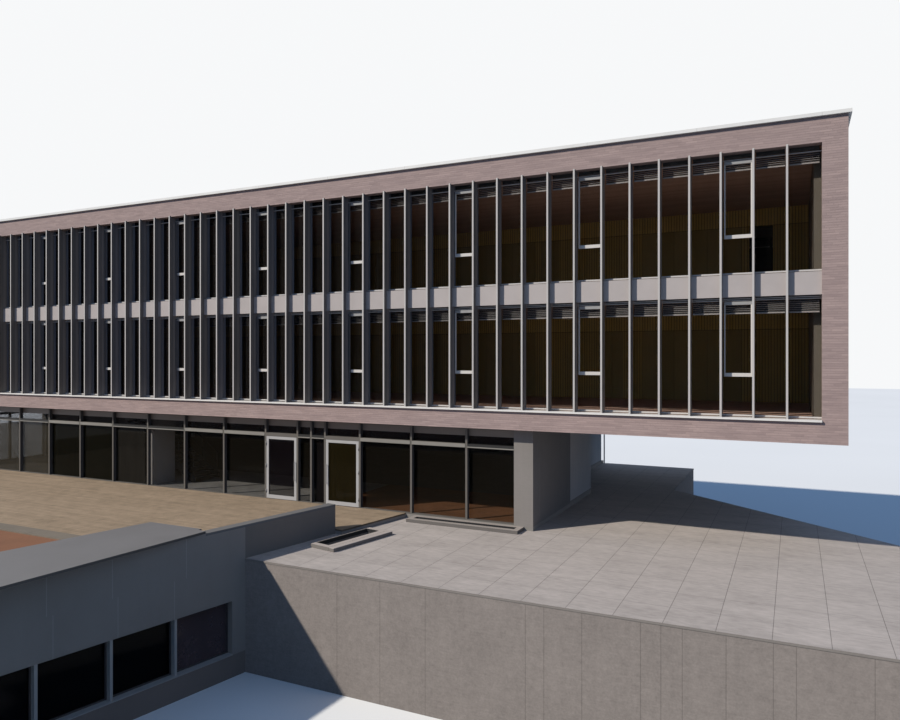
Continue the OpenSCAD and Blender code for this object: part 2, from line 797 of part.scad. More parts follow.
// Doors: each leaf turns on knuckles that stand before the frame's front face
hinge_x = leaf_gap / 2;
knuckle_clear = 0.5;
tab_t = 9;
leaf_set_back = 4;
hinge_y = hall_back - knuckle_r - knuckle_clear;
leaf_y = hall_back + leaf_set_back;
leaf_z = deck_z + leaf_foot_gap;
leaf_top = transom_z - leaf_gap;
leaf_w = door_bay_w - mullion_w - 2 * leaf_gap;
left_hinge_x = door_line + half_mullion + hinge_x;
right_hinge_x = right_door_end - half_mullion - hinge_x;
hinge_clear = 0.3;
tab_w = 30;
HINGE_HEIGHTS = [
    leaf_z + hinge_inset, (leaf_z + leaf_top) / 2, leaf_top - hinge_inset - 2 * knuckle_h];

// Fixed lower knuckles on the frame; side is -1 where the frame is to their left
module hinges_on_frame(x, side) {
    for (z = HINGE_HEIGHTS) {
        translate([x, hinge_y, z]) cylinder(h = knuckle_h, r = knuckle_r);
        box([min(x, x + side * tab_w), hinge_y, z],
            [max(x, x + side * tab_w), hall_back + 1, z + knuckle_h]);
    }
}

// A bar handle on two stand-offs, on the face at y; side is -1 outside and 1 inside
module pull(y, side) {
    x = hinge_x + leaf_w - leaf_frame_w / 2;
    low = leaf_z + pull_mid - pull_len / 2;
    translate([x, y + side * pull_out, low]) cylinder(h = pull_len, r = pull_r);
    for (z = [low + 3 * pull_r, low + pull_len - 3 * pull_r])
        translate([x, y, z]) rotate([-side * 90, 0, 0]) cylinder(h = pull_out, r = pull_r / 2);
}

// One leaf, drawn from its hinge towards +X, with its own upper knuckles
module leaf() {
    difference() {
        box([hinge_x, leaf_y, leaf_z], [hinge_x + leaf_w, leaf_y + leaf_t, leaf_top]);
        box([hinge_x + leaf_frame_w, leaf_y - 1, leaf_z + leaf_foot_h],
            [hinge_x + leaf_w - leaf_frame_w, leaf_y + leaf_t + 1, leaf_top - leaf_frame_w]);
    }
    for (z = HINGE_HEIGHTS) translate([0, 0, z + knuckle_h + hinge_clear]) {
        translate([0, hinge_y, 0]) cylinder(h = knuckle_h, r = knuckle_r);
        box([0, hall_back + 1 - tab_t, 0], [tab_w, leaf_y + 1, knuckle_h]);
    }
    pull(leaf_y, -1);
    pull(leaf_y + leaf_t, 1);
}

module leaf_pane() {
    box([hinge_x + leaf_frame_w, leaf_y + (leaf_t - glass_t) / 2, leaf_z + leaf_foot_h],
        [hinge_x + leaf_w - leaf_frame_w, leaf_y + (leaf_t + glass_t) / 2, leaf_top - leaf_frame_w]);
}

module left_door() {
    color("silver") translate([left_hinge_x, 0, 0]) leaf();
}

module left_door_glass() {
    color("darkslategray") translate([left_hinge_x, 0, 0]) leaf_pane();
}

module right_door() {
    color("silver") translate([right_hinge_x, 0, 0]) mirror([1, 0, 0]) leaf();
}

module right_door_glass() {
    color("darkslategray") translate([right_hinge_x, 0, 0]) mirror([1, 0, 0]) leaf_pane();
}

module storey_slab(z0, z1) {
    box([-window_half, brick_t, z0], [window_half, block_depth - brick_t, z1]);
}

module first_floor_slab() {
    color("indianred") difference() {
        storey_slab(soffit_z, first_floor_z);
        stairwell(soffit_z - 1, first_floor_z + 1);
    }
}

module second_floor_slab() {
    color("indianred") storey_slab(second_floor_z - floor_t, second_floor_z);
}

module roof_slab() {
    color("gray") storey_slab(upper_head_z, upper_head_z + roof_t);
}

module brick_bands() {
    color("rosybrown") front_and_back() {
        box([-window_half, 0, soffit_z], [window_half, brick_t, sill_z]);
        box([-window_half, 0, upper_head_z], [window_half, brick_t, brick_top_z]);
    }
}

module gable_walls() {
    color("rosybrown") for (x = [-block_half, window_half])
        box([x, 0, soffit_z], [x + jamb_w, block_depth, brick_top_z]);
}

module roof_coping() {
    out = coping_out;
    side = block_half + out;
    color("white") {
        front_and_back() box([-side, -out, brick_top_z], [side, coping_w - out, brick_top_z + coping_t]);
        for (x = [-side, side - coping_w])
            box([x, coping_w - out + joint_w, brick_top_z],
                [x + coping_w, block_depth - coping_w + out - joint_w, brick_top_z + coping_t]);
    }
}

module window_sills() {
    lip = fin_out + sill_t;
    color("white") front_and_back() {
        box([-window_half, -lip, sill_z], [window_half, brick_t, sill_z + sill_t]);
        box([-window_half, -lip, sill_z + sill_t - sill_face], [window_half, -fin_out, sill_z + sill_t]);
    }
}

// One fin standing on the sill; its outer edge runs up over the brick
module fin() {
    translate([-fin_w / 2, 0, 0]) rotate([90, 0, 90]) linear_extrude(fin_w) polygon([
        [-fin_out, sill_z + sill_t], [fin_back_y, sill_z + sill_t], [fin_back_y, upper_head_z],
        [0, upper_head_z], [0, upper_head_z + fin_tip], [-fin_out, upper_head_z + fin_tip]]);
}

// Undersides of the rails that join the fins: at the window feet, and the thin ones at the heads
FOOT_RAILS = [sill_z + sill_t + rail_gap, upper_sill_z + rail_gap];
lower_head_rail = lower_head_z - lower_head_gap - head_rail_step - head_rail_h;
upper_head_rail = upper_head_z - head_gap - head_rail_h;
HEAD_RAILS = [lower_head_rail, lower_head_rail + head_rail_step, upper_head_rail];

module fin_rail(z, height) {
    box([-window_half, fin_back_y - rail_d, z], [window_half, fin_back_y, z + height]);
}

module window_fins() {
    color("lightgray") front_and_back() {
        for (i = [1:bay_count - 1]) translate([window_half - i * bay_w, 0, 0]) fin();
        for (z = FOOT_RAILS) fin_rail(z, rail_h);
        for (z = HEAD_RAILS) fin_rail(z, head_rail_h);
    }
}

module spandrels() {
    color("lightgray") front_and_back() {
        box([-window_half, fin_back_y, lower_head_z], [window_half, brick_t, upper_sill_z]);
        for (i = [0:bay_count - 1])
            translate([-window_half + i * bay_w, 0, 0])
                box([i == 0 ? 0 : fin_w / 2, spandrel_y, lower_head_z],
                    [i == bay_count - 1 ? bay_w : bay_w - fin_w / 2, fin_back_y, upper_sill_z]);
    }
}

// One casement frame on the glass, in a bay whose right-hand fin line is at x
module casement(x, z0, z1) {
    x0 = x - bay_w + fin_w / 2 + casement_side_gap;
    x1 = x - fin_w / 2;
    y0 = fin_back_y - casement_t;
    difference() {
        box([x0, y0, z0], [x1, fin_back_y, z1]);
        box([x0 + hinge_stile_w, y0 - 1, z0 + casement_foot],
            [x1 - lock_stile_w, fin_back_y + 1, z1 - casement_top]);
    }
}

module casements() {
    color("gainsboro") front_and_back()
        for (i = [floor(casement_every / 2):casement_every:bay_count - 1]) {
            x = window_half - i * bay_w;
            casement(x, sill_z + lower_casement_sill, lower_head_rail - casement_gap);
            casement(x, upper_sill_z + casement_sill, upper_head_rail - casement_gap);
        }
}

module blinds() {
    color("dimgray") front_and_back() for (z = [lower_head_z, upper_head_z])
        box([-window_half, glass_back_y, z - blind_h], [window_half, glass_back_y + blind_t, z]);
}

module sheet(z0, z1) {
    box([-window_half, fin_back_y, z0], [window_half, glass_back_y, z1]);
}

module first_floor_glass() {
    color("darkslategray") front_and_back() sheet(sill_z + sill_t, lower_head_z);
}

module second_floor_glass() {
    color("darkslategray") front_and_back() sheet(upper_sill_z, upper_head_z);
}

module corridor_walls() {
    color("tan") {
        difference() {
            box([-window_half, room_depth, first_floor_z],
                [window_half, room_depth + partition_t, second_floor_z - floor_t]);
            for (i = [0:room_modules - 1]) doorway(lower_door_x - i * room_module, first_floor_z, 1);
        }
        difference() {
            box([-window_half, room_depth, second_floor_z],
                [window_half, room_depth + partition_t, upper_head_z]);
            for (i = [0:room_modules - 1]) doorway(upper_door_x - i * room_module, second_floor_z, 1);
        }
    }
}

module doorway(x, z, margin) {
    box([x, room_depth - margin, z - margin],
        [x + doorway_w, room_depth + partition_t + margin, z + doorway_h]);
}

// A closed inner door, set into its doorway
module inner_door(x, z) {
    box([x, room_depth + leaf_in, z], [x + doorway_w, room_depth + 2 * leaf_in, z + doorway_h]);
}

module classroom_joinery() {
    color("darkkhaki") for (i = [0:room_modules - 1]) translate([-i * room_module, 0, 0]) {
        for (z = [first_floor_z, second_floor_z])
            box([cupboard_x, room_depth - cupboard_t, z],
                [cupboard_x + cupboard_w, room_depth, z + doorway_h]);
        inner_door(lower_door_x, first_floor_z);
        if (i > 0) inner_door(upper_door_x, second_floor_z);
    }
}

lower_floor();
lower_outer_walls();
terrace_front_wall();
terrace_side_walls();
wing_sill_wall();
wing_upper_wall();
wing_window_frames();
wing_glass();
wing_roof_slab();
wing_coping();
wing_edge_copings();
play_surface();
wing_upstand();
deck_slab();
timber_deck();
deck_kerb();
terrace_slab();
light_well_kerbs();
ground_floor_slab();
hall_walls();
stair_treads();
stair_strings();
hall_frames();
door_heads();
hall_header();
hall_glass();
left_door();
left_door_glass();
right_door();
right_door_glass();
first_floor_slab();
second_floor_slab();
roof_slab();
brick_bands();
gable_walls();
roof_coping();
window_sills();
window_fins();
spandrels();
casements();
blinds();
first_floor_glass();
second_floor_glass();
corridor_walls();
classroom_joinery();
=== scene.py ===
"""School building: finishes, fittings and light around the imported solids.

The classroom block stands on a glazed hall, over a lower storey with a paved
terrace, a timber deck and a low wing. X runs along the front to the right, Y into
the building and Z up, in metres.
"""
from __future__ import annotations

import logging
import math
from collections.abc import Callable, Sequence
from dataclasses import dataclass, field
from enum import Enum

import bmesh
import bpy
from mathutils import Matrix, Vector


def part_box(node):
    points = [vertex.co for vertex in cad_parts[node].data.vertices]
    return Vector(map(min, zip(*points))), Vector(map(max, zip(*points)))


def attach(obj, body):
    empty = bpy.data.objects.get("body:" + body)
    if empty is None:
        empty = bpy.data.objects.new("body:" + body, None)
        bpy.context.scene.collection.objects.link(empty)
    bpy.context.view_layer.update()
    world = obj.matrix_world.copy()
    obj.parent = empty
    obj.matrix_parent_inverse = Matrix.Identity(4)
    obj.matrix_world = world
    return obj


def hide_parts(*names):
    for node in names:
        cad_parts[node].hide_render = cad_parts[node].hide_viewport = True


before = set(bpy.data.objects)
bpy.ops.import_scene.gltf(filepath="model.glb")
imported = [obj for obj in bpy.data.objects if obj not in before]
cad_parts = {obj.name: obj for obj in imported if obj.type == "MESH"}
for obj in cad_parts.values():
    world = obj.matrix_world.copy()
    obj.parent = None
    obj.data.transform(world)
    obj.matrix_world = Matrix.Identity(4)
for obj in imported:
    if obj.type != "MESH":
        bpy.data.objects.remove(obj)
log = logging.getLogger("school_building")

BUILDING = "building"
LEFT_LEAF = "left_door_leaf"
RIGHT_LEAF = "right_door_leaf"

# Corner where the wing's slanting wall starts, and the wall's turn
WING_CORNER = (4.31, -5.64)
WING_TURN = math.radians(11)
# Width of a window bay
BAY_W = 0.8
# What lies before this depth belongs to the front
FRONT_Y = 1.0
# Middle of the block's depth, behind which its rear begins
MIDDLE_Y = 7.75
# Least part of a face's direction along an axis that it counts as looking along
STEEP = 0.6
LEVEL = 0.5
SQUARE = 0.9

Colour = tuple[float, float, float]
Point = tuple[float, float, float]
Span = tuple[float, float]


def paint(red: int, green: int, blue: int) -> Colour:
    """Turns a colour in display steps into the linear one that shaders use.

    Args:
        red: Red, 0 to 255.
        green: Green, 0 to 255.
        blue: Blue, 0 to 255.

    Returns:
        The linear red, green and blue.
    """
    toe = 0.04045
    linear = []
    for value in (red, green, blue):
        share = value / 255
        linear.append(share / 12.92 if share <= toe else ((share + 0.055) / 1.055) ** 2.4)
    return linear[0], linear[1], linear[2]


def operator(operation: str, swapped: bool = False) -> Callable[[Wire, Feed], Wire]:
    """Makes a method of Wire that does one sum with another feed.

    Args:
        operation: The sum's name.
        swapped: True where the other feed comes first.

    Returns:
        The method.
    """
    def work(self: Wire, other: Feed) -> Wire:
        """Does the sum."""
        return self.graph.math(operation, *((other, self) if swapped else (self, other)))
    return work


class Wire:
    """A shader socket that does arithmetic with numbers and other wires.

    A comparison gives 1 where it holds, else 0. Of two masks, either() takes the
    greater and both() the lesser.
    """

    __add__ = operator("ADD")
    __radd__ = operator("ADD", swapped=True)
    __sub__ = operator("SUBTRACT")
    __rsub__ = operator("SUBTRACT", swapped=True)
    __mul__ = operator("MULTIPLY")
    __truediv__ = operator("DIVIDE")
    __gt__ = operator("GREATER_THAN")
    __lt__ = operator("LESS_THAN")
    either = operator("MAXIMUM")
    both = operator("MINIMUM")

    def __init__(self, graph: Graph, socket: bpy.types.NodeSocket) -> None:
        """Keeps the socket and the graph that it belongs to."""
        self.graph = graph
        self.socket = socket

    def __abs__(self) -> Wire:
        """Drops the sign."""
        return self.graph.math("ABSOLUTE", self)

    def floor(self) -> Wire:
        """Rounds down."""
        return self.graph.math("FLOOR", self)

    def fraction(self) -> Wire:
        """Keeps what is left after rounding down."""
        return self.graph.math("FRACT", self)


Feed = Wire | float | int | tuple


class Graph:
    """The node tree of one finish, with its shader."""

    def __init__(self, name: str) -> None:
        """Starts a material of that name with a single shader in it."""
        self.material = bpy.data.materials.new(name)
        self.material.use_nodes = True
        self.tree = self.material.node_tree
        self.shader = self.tree.nodes["Principled BSDF"]

    @classmethod
    def of_world(cls, world: bpy.types.World) -> Graph:
        """Starts a graph on a world's emptied node tree, without a shader."""
        graph = cls.__new__(cls)
        graph.tree = world.node_tree
        graph.tree.nodes.clear()
        return graph

    def feed(self, node: bpy.types.Node, inputs: dict[int | str, Feed]) -> None:
        """Gives a value or a wire to each named or numbered socket of a node."""
        for key, value in inputs.items():
            if isinstance(value, Wire):
                self.tree.links.new(value.socket, node.inputs[key])
            else:
                node.inputs[key].default_value = value

    def node(self, kind: str, inputs: dict[int | str, Feed], **settings: object) -> bpy.types.Node:
        """Adds a node.

        Args:
            kind: The node's type.
            inputs: A value or a wire for each named or numbered socket.
            **settings: The node's own settings, which are set first.

        Returns:
            The new node.
        """
        made = self.tree.nodes.new(kind)
        for name, value in settings.items():
            setattr(made, name, value)
        self.feed(made, inputs)
        return made

    def wire(self, kind: str, inputs: dict[int | str, Feed], output: int | str = 0,
             **settings: object) -> Wire:
        """Adds a node and gives one of its outputs."""
        return Wire(self, self.node(kind, inputs, **settings).outputs[output])

    def math(self, operation: str, *values: Feed) -> Wire:
        """Does one sum on numbers and wires."""
        return self.wire("ShaderNodeMath", dict(enumerate(values)), operation=operation)

    def position(self) -> Wire:
        """Gives the point's own place as a vector."""
        return self.wire("ShaderNodeTexCoord", {}, "Object")

    def place(self) -> tuple[Wire, Wire, Wire]:
        """Gives the point's own X, Y and Z in metres."""
        return self.split(self.position())

    def facing(self) -> tuple[Wire, Wire, Wire]:
        """Gives the three parts of the face's direction."""
        return self.split(self.wire("ShaderNodeTexCoord", {}, "Normal"))

    def split(self, vector: Wire) -> tuple[Wire, Wire, Wire]:
        """Parts a vector into its X, Y and Z."""
        parts = self.node("ShaderNodeSeparateXYZ", {0: vector}).outputs
        return Wire(self, parts[0]), Wire(self, parts[1]), Wire(self, parts[2])

    def by_wing(self) -> tuple[Wire, Wire]:
        """Gives the distance out from the wing's slanting wall, and the place along it."""
        x, y, _ = self.place()
        across = x - WING_CORNER[0]
        back = y - WING_CORNER[1]
        out = across * math.cos(WING_TURN) - back * math.sin(WING_TURN)
        return out, across * math.sin(WING_TURN) + back * math.cos(WING_TURN)

    def wall_plane(self) -> tuple[Wire, Wire, Wire]:
        """Gives the place on a wall or floor by the way its face looks.

        Returns:
            The place along, the place up, and 1 on faces that look along X.
        """
        x, y, z = self.place()
        across, _, upward = self.facing()
        end = abs(across) > STEEP
        flat = abs(upward) > STEEP
        return x + (y - x) * end, z + (y - z) * flat, end

    def cloud(self, scale: float, detail: float = 4.0, roughness: float = 0.55,
              drawn: Point | None = None) -> Wire:
        """Gives soft noise between about 0.3 and 0.7.

        Args:
            scale: Blots to a metre.
            detail: Layers of finer noise.
            roughness: Strength of the finer layers.
            drawn: How much closer it lies along X, Y and Z, where it is drawn out.

        Returns:
            The noise.
        """
        place = self.position()
        if drawn is not None:
            place = self.wire("ShaderNodeVectorMath", {0: place, 1: drawn}, operation="MULTIPLY")
        inputs = {"Vector": place, "Scale": scale, "Detail": detail, "Roughness": roughness}
        return self.wire("ShaderNodeTexNoise", inputs)

    def stretched(self, drawn: Point, scale: float, detail: float = 4.0) -> Wire:
        """Gives soft noise drawn out along an axis."""
        return self.cloud(scale, detail, drawn=drawn)

    def chance(self, first: Feed, second: Feed, third: Feed = 0.0) -> Wire:
        """Gives one random number from 0 to 1 for each set of whole numbers."""
        cell = self.wire("ShaderNodeCombineXYZ", {0: first, 1: second, 2: third})
        return self.wire("ShaderNodeTexWhiteNoise", {"Vector": cell})

    def mix(self, share: Feed, low: Feed, high: Feed) -> Wire:
        """Mixes two colours, the first at a share of 0 and the second at 1."""
        inputs = {0: share, 6: self.opaque(low), 7: self.opaque(high)}
        return self.wire("ShaderNodeMix", inputs, 2, data_type="RGBA")

    @staticmethod
    def opaque(colour: Feed) -> Feed:
        """Adds a full fourth value to a plain colour."""
        return (*colour, 1.0) if isinstance(colour, tuple) else colour

    def scaled(self, colour: Feed, factor: Feed) -> Wire:
        """Makes a colour lighter or darker by a factor."""
        return self.wire("ShaderNodeVectorMath", {0: colour, 3: factor}, operation="SCALE")

    @staticmethod
    def joint(place: Wire, pitch: float, width: float, start: float = 0.0) -> Wire:
        """Marks thin lines at a steady pitch, one of them on the start."""
        return ((place - (start - width / 2)) / pitch).fraction() < width / pitch

    @staticmethod
    def between(place: Wire, low: float, high: float) -> Wire:
        """Gives 1 where a place lies between two others, else 0."""
        return abs(place - (low + high) / 2) < (high - low) / 2

    @staticmethod
    def lines(place: Wire, places: Sequence[float], width: float) -> Wire:
        """Marks single thin lines, each of the width given."""
        marked = abs(place - places[0]) < width / 2
        for line in places[1:]:
            marked = marked.either(abs(place - line) < width / 2)
        return marked

    def ceiling(self, colour: Colour, board_w: float, seed: float, clouds: Wire) -> Wire:
        """Paints ceiling boards that run along X.

        Args:
            colour: Their colour.
            board_w: Their width.
            seed: Sets which boards are paler.
            clouds: Noise that shades them.

        Returns:
            The boards' colour, with dark seams.
        """
        seam_w = 0.01
        _, y, _ = self.place()
        seams = self.joint(y, board_w, seam_w)
        board = self.chance((y / board_w).floor(), seed)
        return self.scaled(colour, (0.75 + board * 0.2 + clouds * 0.3) * (1 - seams * 0.6))

    def finish(self, colour: Feed, roughness: Feed, height: Wire | None = None, depth: float = 0.001,
               specular: float = 0.3, **others: Feed) -> bpy.types.Material:
        """Feeds the shader.

        Args:
            colour: The surface's colour.
            roughness: Its roughness.
            height: Relief from 0 to 1, if any.
            depth: What 1 of that relief measures.
            specular: Strength of its plain reflection.
            **others: The shader's other sockets, underscores for spaces.

        Returns:
            The material.
        """
        feeds = {"Base Color": self.opaque(colour), "Roughness": roughness, "Specular IOR Level": specular}
        for name, value in others.items():
            feeds[name.replace("_", " ")] = value
        if height is not None:
            relief = {"Strength": 1.0, "Distance": depth, "Height": height}
            feeds["Normal"] = self.wire("ShaderNodeBump", relief)
        self.feed(self.shader, feeds)
        return self.material


@dataclass(frozen=True)
class Brickwork:
    """Thin long bricks in pinkish grey tones, streaky along the courses, with plaster on the inside."""

    name: str = "fired_brick"
    pale: Colour = paint(180, 158, 154)
    dark: Colour = paint(139, 122, 121)
    mortar: Colour = paint(152, 135, 133)
    plaster: Colour = paint(160, 152, 138)
    brick_len: float = 0.30
    course: float = 0.0621
    joint_w: float = 0.009
    stagger: float = 0.37
    inner_x: float = 18.05
    inner_y: Span = (0.3, 15.2)
    inner_top: float = 13.75

    def material(self) -> bpy.types.Material:
        """Lays the bricks by the way each face looks, and plasters the faces in the rooms."""
        graph = Graph(self.name)
        x, y, z = graph.place()
        _, _, upward = graph.facing()
        along, up, end = graph.wall_plane()
        row = (up / self.course).floor()
        run = along / self.brick_len + row * self.stagger
        bed = (up / self.course).fraction() < self.joint_w / self.course
        joints = bed.either(run.fraction() < self.joint_w / self.brick_len)
        tone = graph.chance(run.floor(), row, end)
        wide_tone = graph.cloud(0.5, 3.0)
        streak = graph.stretched((0.7, 0.7, 9.0), 1.3, 4.0)
        grain = graph.stretched((1.0, 1.0, 6.0), 9.0, 5.0)
        share = tone * 0.3 + streak * 1.1 + grain * 0.3 - 0.35
        body = graph.scaled(graph.mix(share, self.dark, self.pale), 0.9 + wide_tone * 0.2)
        colour = graph.mix(joints * 0.4, body, self.mortar)
        inside = (abs(x) < self.inner_x).both(graph.between(y, *self.inner_y)).both(z < self.inner_top)
        inside = inside.both(upward > -LEVEL)
        colour = graph.mix(inside, colour, graph.scaled(self.plaster, 0.85 + wide_tone * 0.3))
        height = ((1 - joints) * (0.8 + tone * 0.2) + grain * 0.25) * (1 - inside)
        return graph.finish(colour, 0.86, height, 0.004, specular=0.25)


@dataclass(frozen=True)
class CastConcrete:
    """Fair-faced concrete with clouds, rain streaks and fine pores, and joints where it has some."""

    name: str
    colour: Colour
    pitch: float = 0.0
    joint_w: float = 0.012
    places: tuple[float, ...] = ()
    cloudiness: float = 0.16
    fine: float = 0.12
    joint_depth: float = 0.42
    blotches: float = 0.0

    def material(self) -> bpy.types.Material:
        """Casts the concrete."""
        graph = Graph(self.name)
        x, _, _ = graph.place()
        along, _, end = graph.wall_plane()
        clouds = graph.cloud(0.9, 6.0, 0.6)
        pores = graph.cloud(24.0)
        streaks = graph.stretched((5.0, 5.0, 0.35), 1.0, 3.0)
        mottle = graph.stretched((1.2, 1.2, 12.0), 2.2, 5.0)
        shade = 1 + (clouds - 0.5) * (2 * self.cloudiness) + (pores - 0.5) * self.fine
        shade = shade + (streaks - 0.5) * 0.14 + (mottle - 0.5) * self.fine
        if self.blotches:
            shade = shade + (graph.cloud(6.0, 8.0, 0.78) - 0.5) * self.blotches
        height = pores * 0.6 + clouds * 0.4
        joints = None
        if self.pitch:
            joints = graph.joint(along, self.pitch, self.joint_w)
            shade = shade + (graph.chance((along / self.pitch).floor(), end) - 0.5) * 0.08
        if self.places:
            joints = graph.lines(x, self.places, self.joint_w).both(1 - end)
        if joints is not None:
            shade = shade * (1 - joints * self.joint_depth)
            height = height + (1 - joints) * 4
        colour = self.weathered(graph, graph.scaled(self.colour, shade), shade)
        return graph.finish(colour, 0.8 + pores * 0.15, height, 0.0012)

    def weathered(self, graph: Graph, colour: Wire, shade: Wire) -> Wire:
        """Changes the colour by place, which plain concrete doesn't.

        Args:
            graph: The finish's graph.
            colour: The concrete's colour.
            shade: What that colour was scaled by.

        Returns:
            The colour to be seen.
        """
        return colour


@dataclass(frozen=True)
class HallConcrete(CastConcrete):
    """The hall's walls: dull before the side wall's step, cool behind it, pale where the glass shows them."""

    step_y: float = 4.46
    cool: Colour = paint(192, 184, 178)
    cool_z: float = 3.2
    pale: Colour = paint(192, 187, 183)
    column_x: Span = (-6.4, -6.0)
    column_y: float = 5.0
    left_x: float = -17.5

    def weathered(self, graph: Graph, colour: Wire, shade: Wire) -> Wire:
        """Paints the side wall, the wall end behind the glass and the left wall's inner face."""
        x, y, z = graph.place()
        across, _, _ = graph.facing()
        end = abs(across) > STEEP
        cool = (y > self.step_y).both(end).both(z > self.cool_z).both(x > 0.0)
        colour = graph.mix(cool, colour, graph.scaled(self.cool, shade))
        colour = graph.scaled(colour, 1 - (y < self.step_y).both(end) * 0.2)
        column = graph.between(x, *self.column_x).both(y < self.column_y)
        pale = column.either((x < self.left_x).both(across > LEVEL))
        return graph.mix(pale, colour, graph.scaled(self.pale, shade))


@dataclass(frozen=True)
class WellConcrete(CastConcrete):
    """The light wells' kerbs: duller upright faces, and near-black walls in the wells."""

    flank: Colour = paint(114, 109, 106)
    lining: Colour = paint(40, 40, 42)
    front_x: Span = (6.27, 9.73)
    front_y: Span = (0.02, 0.262)
    side_out: Span = (0.59, 1.10)
    side_run: Span = (1.95, 4.01)
    dull_y: float = -0.5

    def weathered(self, graph: Graph, colour: Wire, shade: Wire) -> Wire:
        """Paints the flanks, dulls the front well's kerb, and lines both wells."""
        x, y, _ = graph.place()
        _, _, upward = graph.facing()
        out, run = graph.by_wing()
        front = graph.between(x, *self.front_x).both(graph.between(y, *self.front_y))
        side = graph.between(out, *self.side_out).both(graph.between(run, *self.side_run))
        colour = graph.mix(abs(upward) < LEVEL, colour, graph.scaled(self.flank, shade))
        colour = graph.scaled(colour, 1 - (y > self.dull_y) * 0.2)
        return graph.mix(front.either(side), colour, self.lining)


@dataclass(frozen=True)
class WingConcrete:
    """The wing's concrete wall: two rows of wide panels with faint pale joints, and a duller foot."""

    name: str = "wing_concrete"
    colour: Colour = paint(146, 139, 133)
    foot: Colour = paint(126, 116, 110)
    upper: tuple[float, ...] = (-13.33, -11.94, -10.56, -9.176, -7.351)
    lower: tuple[float, ...] = (-13.2, -11.816, -10.433, -9.05, -7.667)
    row_z: float = 2.9
    foot_z: float = 0.58
    joint_w: float = 0.016

    def material(self) -> bpy.types.Material:
        """Sets the panels along the wing's slanting wall."""
        graph = Graph(self.name)
        _, y, z = graph.place()
        upper = z > self.row_z
        lower = (1 - upper).both(z > self.foot_z)
        joints = graph.lines(y, self.upper, self.joint_w).both(upper)
        joints = joints.either(graph.lines(y, self.lower, self.joint_w).both(lower))
        clouds = graph.cloud(0.8, 5.0, 0.6)
        pores = graph.cloud(26.0)
        streaks = graph.stretched((4.0, 4.0, 0.4), 1.0, 3.0)
        shade = 0.84 + clouds * 0.22 + pores * 0.06 + streaks * 0.08
        colour = graph.scaled(self.colour, shade * (1 + joints * 0.3))
        colour = graph.mix(z < self.foot_z, colour, graph.scaled(self.foot, shade))
        height = pores * 0.3 + (1 - joints) * 0.5
        return graph.finish(colour, 0.8, height, 0.002, specular=0.25)


@dataclass(frozen=True)
class SlabPaving:
    """Square precast slabs, a metre each way, streaky, with weathered edges."""

    name: str = "precast_paving"
    colour: Colour = paint(176, 167, 162)
    edge: Colour = paint(134, 127, 122)
    pitch: float = 1.0
    joint_w: float = 0.012
    cross_start: float = 0.36

    def material(self) -> bpy.types.Material:
        """Lays the slabs, and weathers the edges under them."""
        graph = Graph(self.name)
        x, y, _ = graph.place()
        _, _, upward = graph.facing()
        cross = graph.joint(y, self.pitch, self.joint_w * 0.8, self.cross_start) * 0.7
        joints = graph.joint(x, self.pitch, self.joint_w).either(cross)
        tone = graph.chance((x / self.pitch).floor(), ((y - self.cross_start) / self.pitch).floor())
        clouds = graph.cloud(1.1, 6.0, 0.62)
        pores = graph.cloud(40.0, 3.0)
        wear = graph.stretched((0.5, 2.2, 1.0), 0.9, 5.0)
        grit = graph.stretched((3.0, 9.0, 1.0), 1.4, 4.0)
        shade = 0.28 + tone * 0.05 + clouds * 0.3 + pores * 0.16 + wear * 0.4 + grit * 0.5
        top = upward > LEVEL
        colour = graph.mix(top, graph.scaled(self.edge, 0.8 + clouds * 0.4),
                           graph.scaled(self.colour, shade * (1 - joints * 0.5)))
        height = (pores * 0.4 + (1 - joints) * 2) * top
        return graph.finish(colour, 0.82, height, 0.0015)


@dataclass(frozen=True)
class DeckBoards:
    """Weathered boards that run along the building, with open joints and staggered ends."""

    name: str = "weathered_boards"
    pale: Colour = paint(177, 155, 132)
    dark: Colour = paint(133, 117, 98)
    board_w: float = 0.14
    board_len: float = 4.0
    gap: float = 0.007

    def material(self) -> bpy.types.Material:
        """Lays the boards."""
        graph = Graph(self.name)
        x, y, _ = graph.place()
        _, _, upward = graph.facing()
        board = (y / self.board_w).floor()
        shift = graph.chance(board, 3.0)
        run = x / self.board_len + shift
        gaps = graph.joint(y, self.board_w, self.gap).either(run.fraction() < self.gap / self.board_len)
        tone = graph.chance(run.floor(), board)
        grain = graph.stretched((0.6, 14.0, 14.0), 3.0, 6.0)
        broad = graph.cloud(0.5, 4.0)
        blots = graph.cloud(2.6, 4.0, 0.7)
        share = tone * 0.26 + grain * 1.0 - 0.32 + (broad - 0.5) * 0.5 + (blots - 0.42) * 1.2
        colour = graph.mix(share, self.dark, self.pale)
        top = upward > LEVEL
        colour = graph.scaled(colour, (1 - gaps * 0.5 * top) * (0.45 + top * 0.55))
        height = (1 - gaps) * 3 + grain
        return graph.finish(colour, 0.75 + grain * 0.2, height, 0.002, specular=0.25)


@dataclass(frozen=True)
class CastRubber:
    """The play surface: orange granules pressed into a mat."""

    name: str = "play_granules"
    pale: Colour = paint(158, 111, 84)
    dark: Colour = paint(110, 79, 62)

    def material(self) -> bpy.types.Material:
        """Mixes the granules."""
        graph = Graph(self.name)
        granules = graph.cloud(110.0, 3.0, 0.7)
        worn = graph.cloud(0.7, 5.0, 0.6)
        colour = graph.mix(granules * 1.4 - 0.3 + (worn - 0.5) * 0.8, self.dark, self.pale)
        return graph.finish(colour, 0.9, granules, 0.003, specular=0.2)


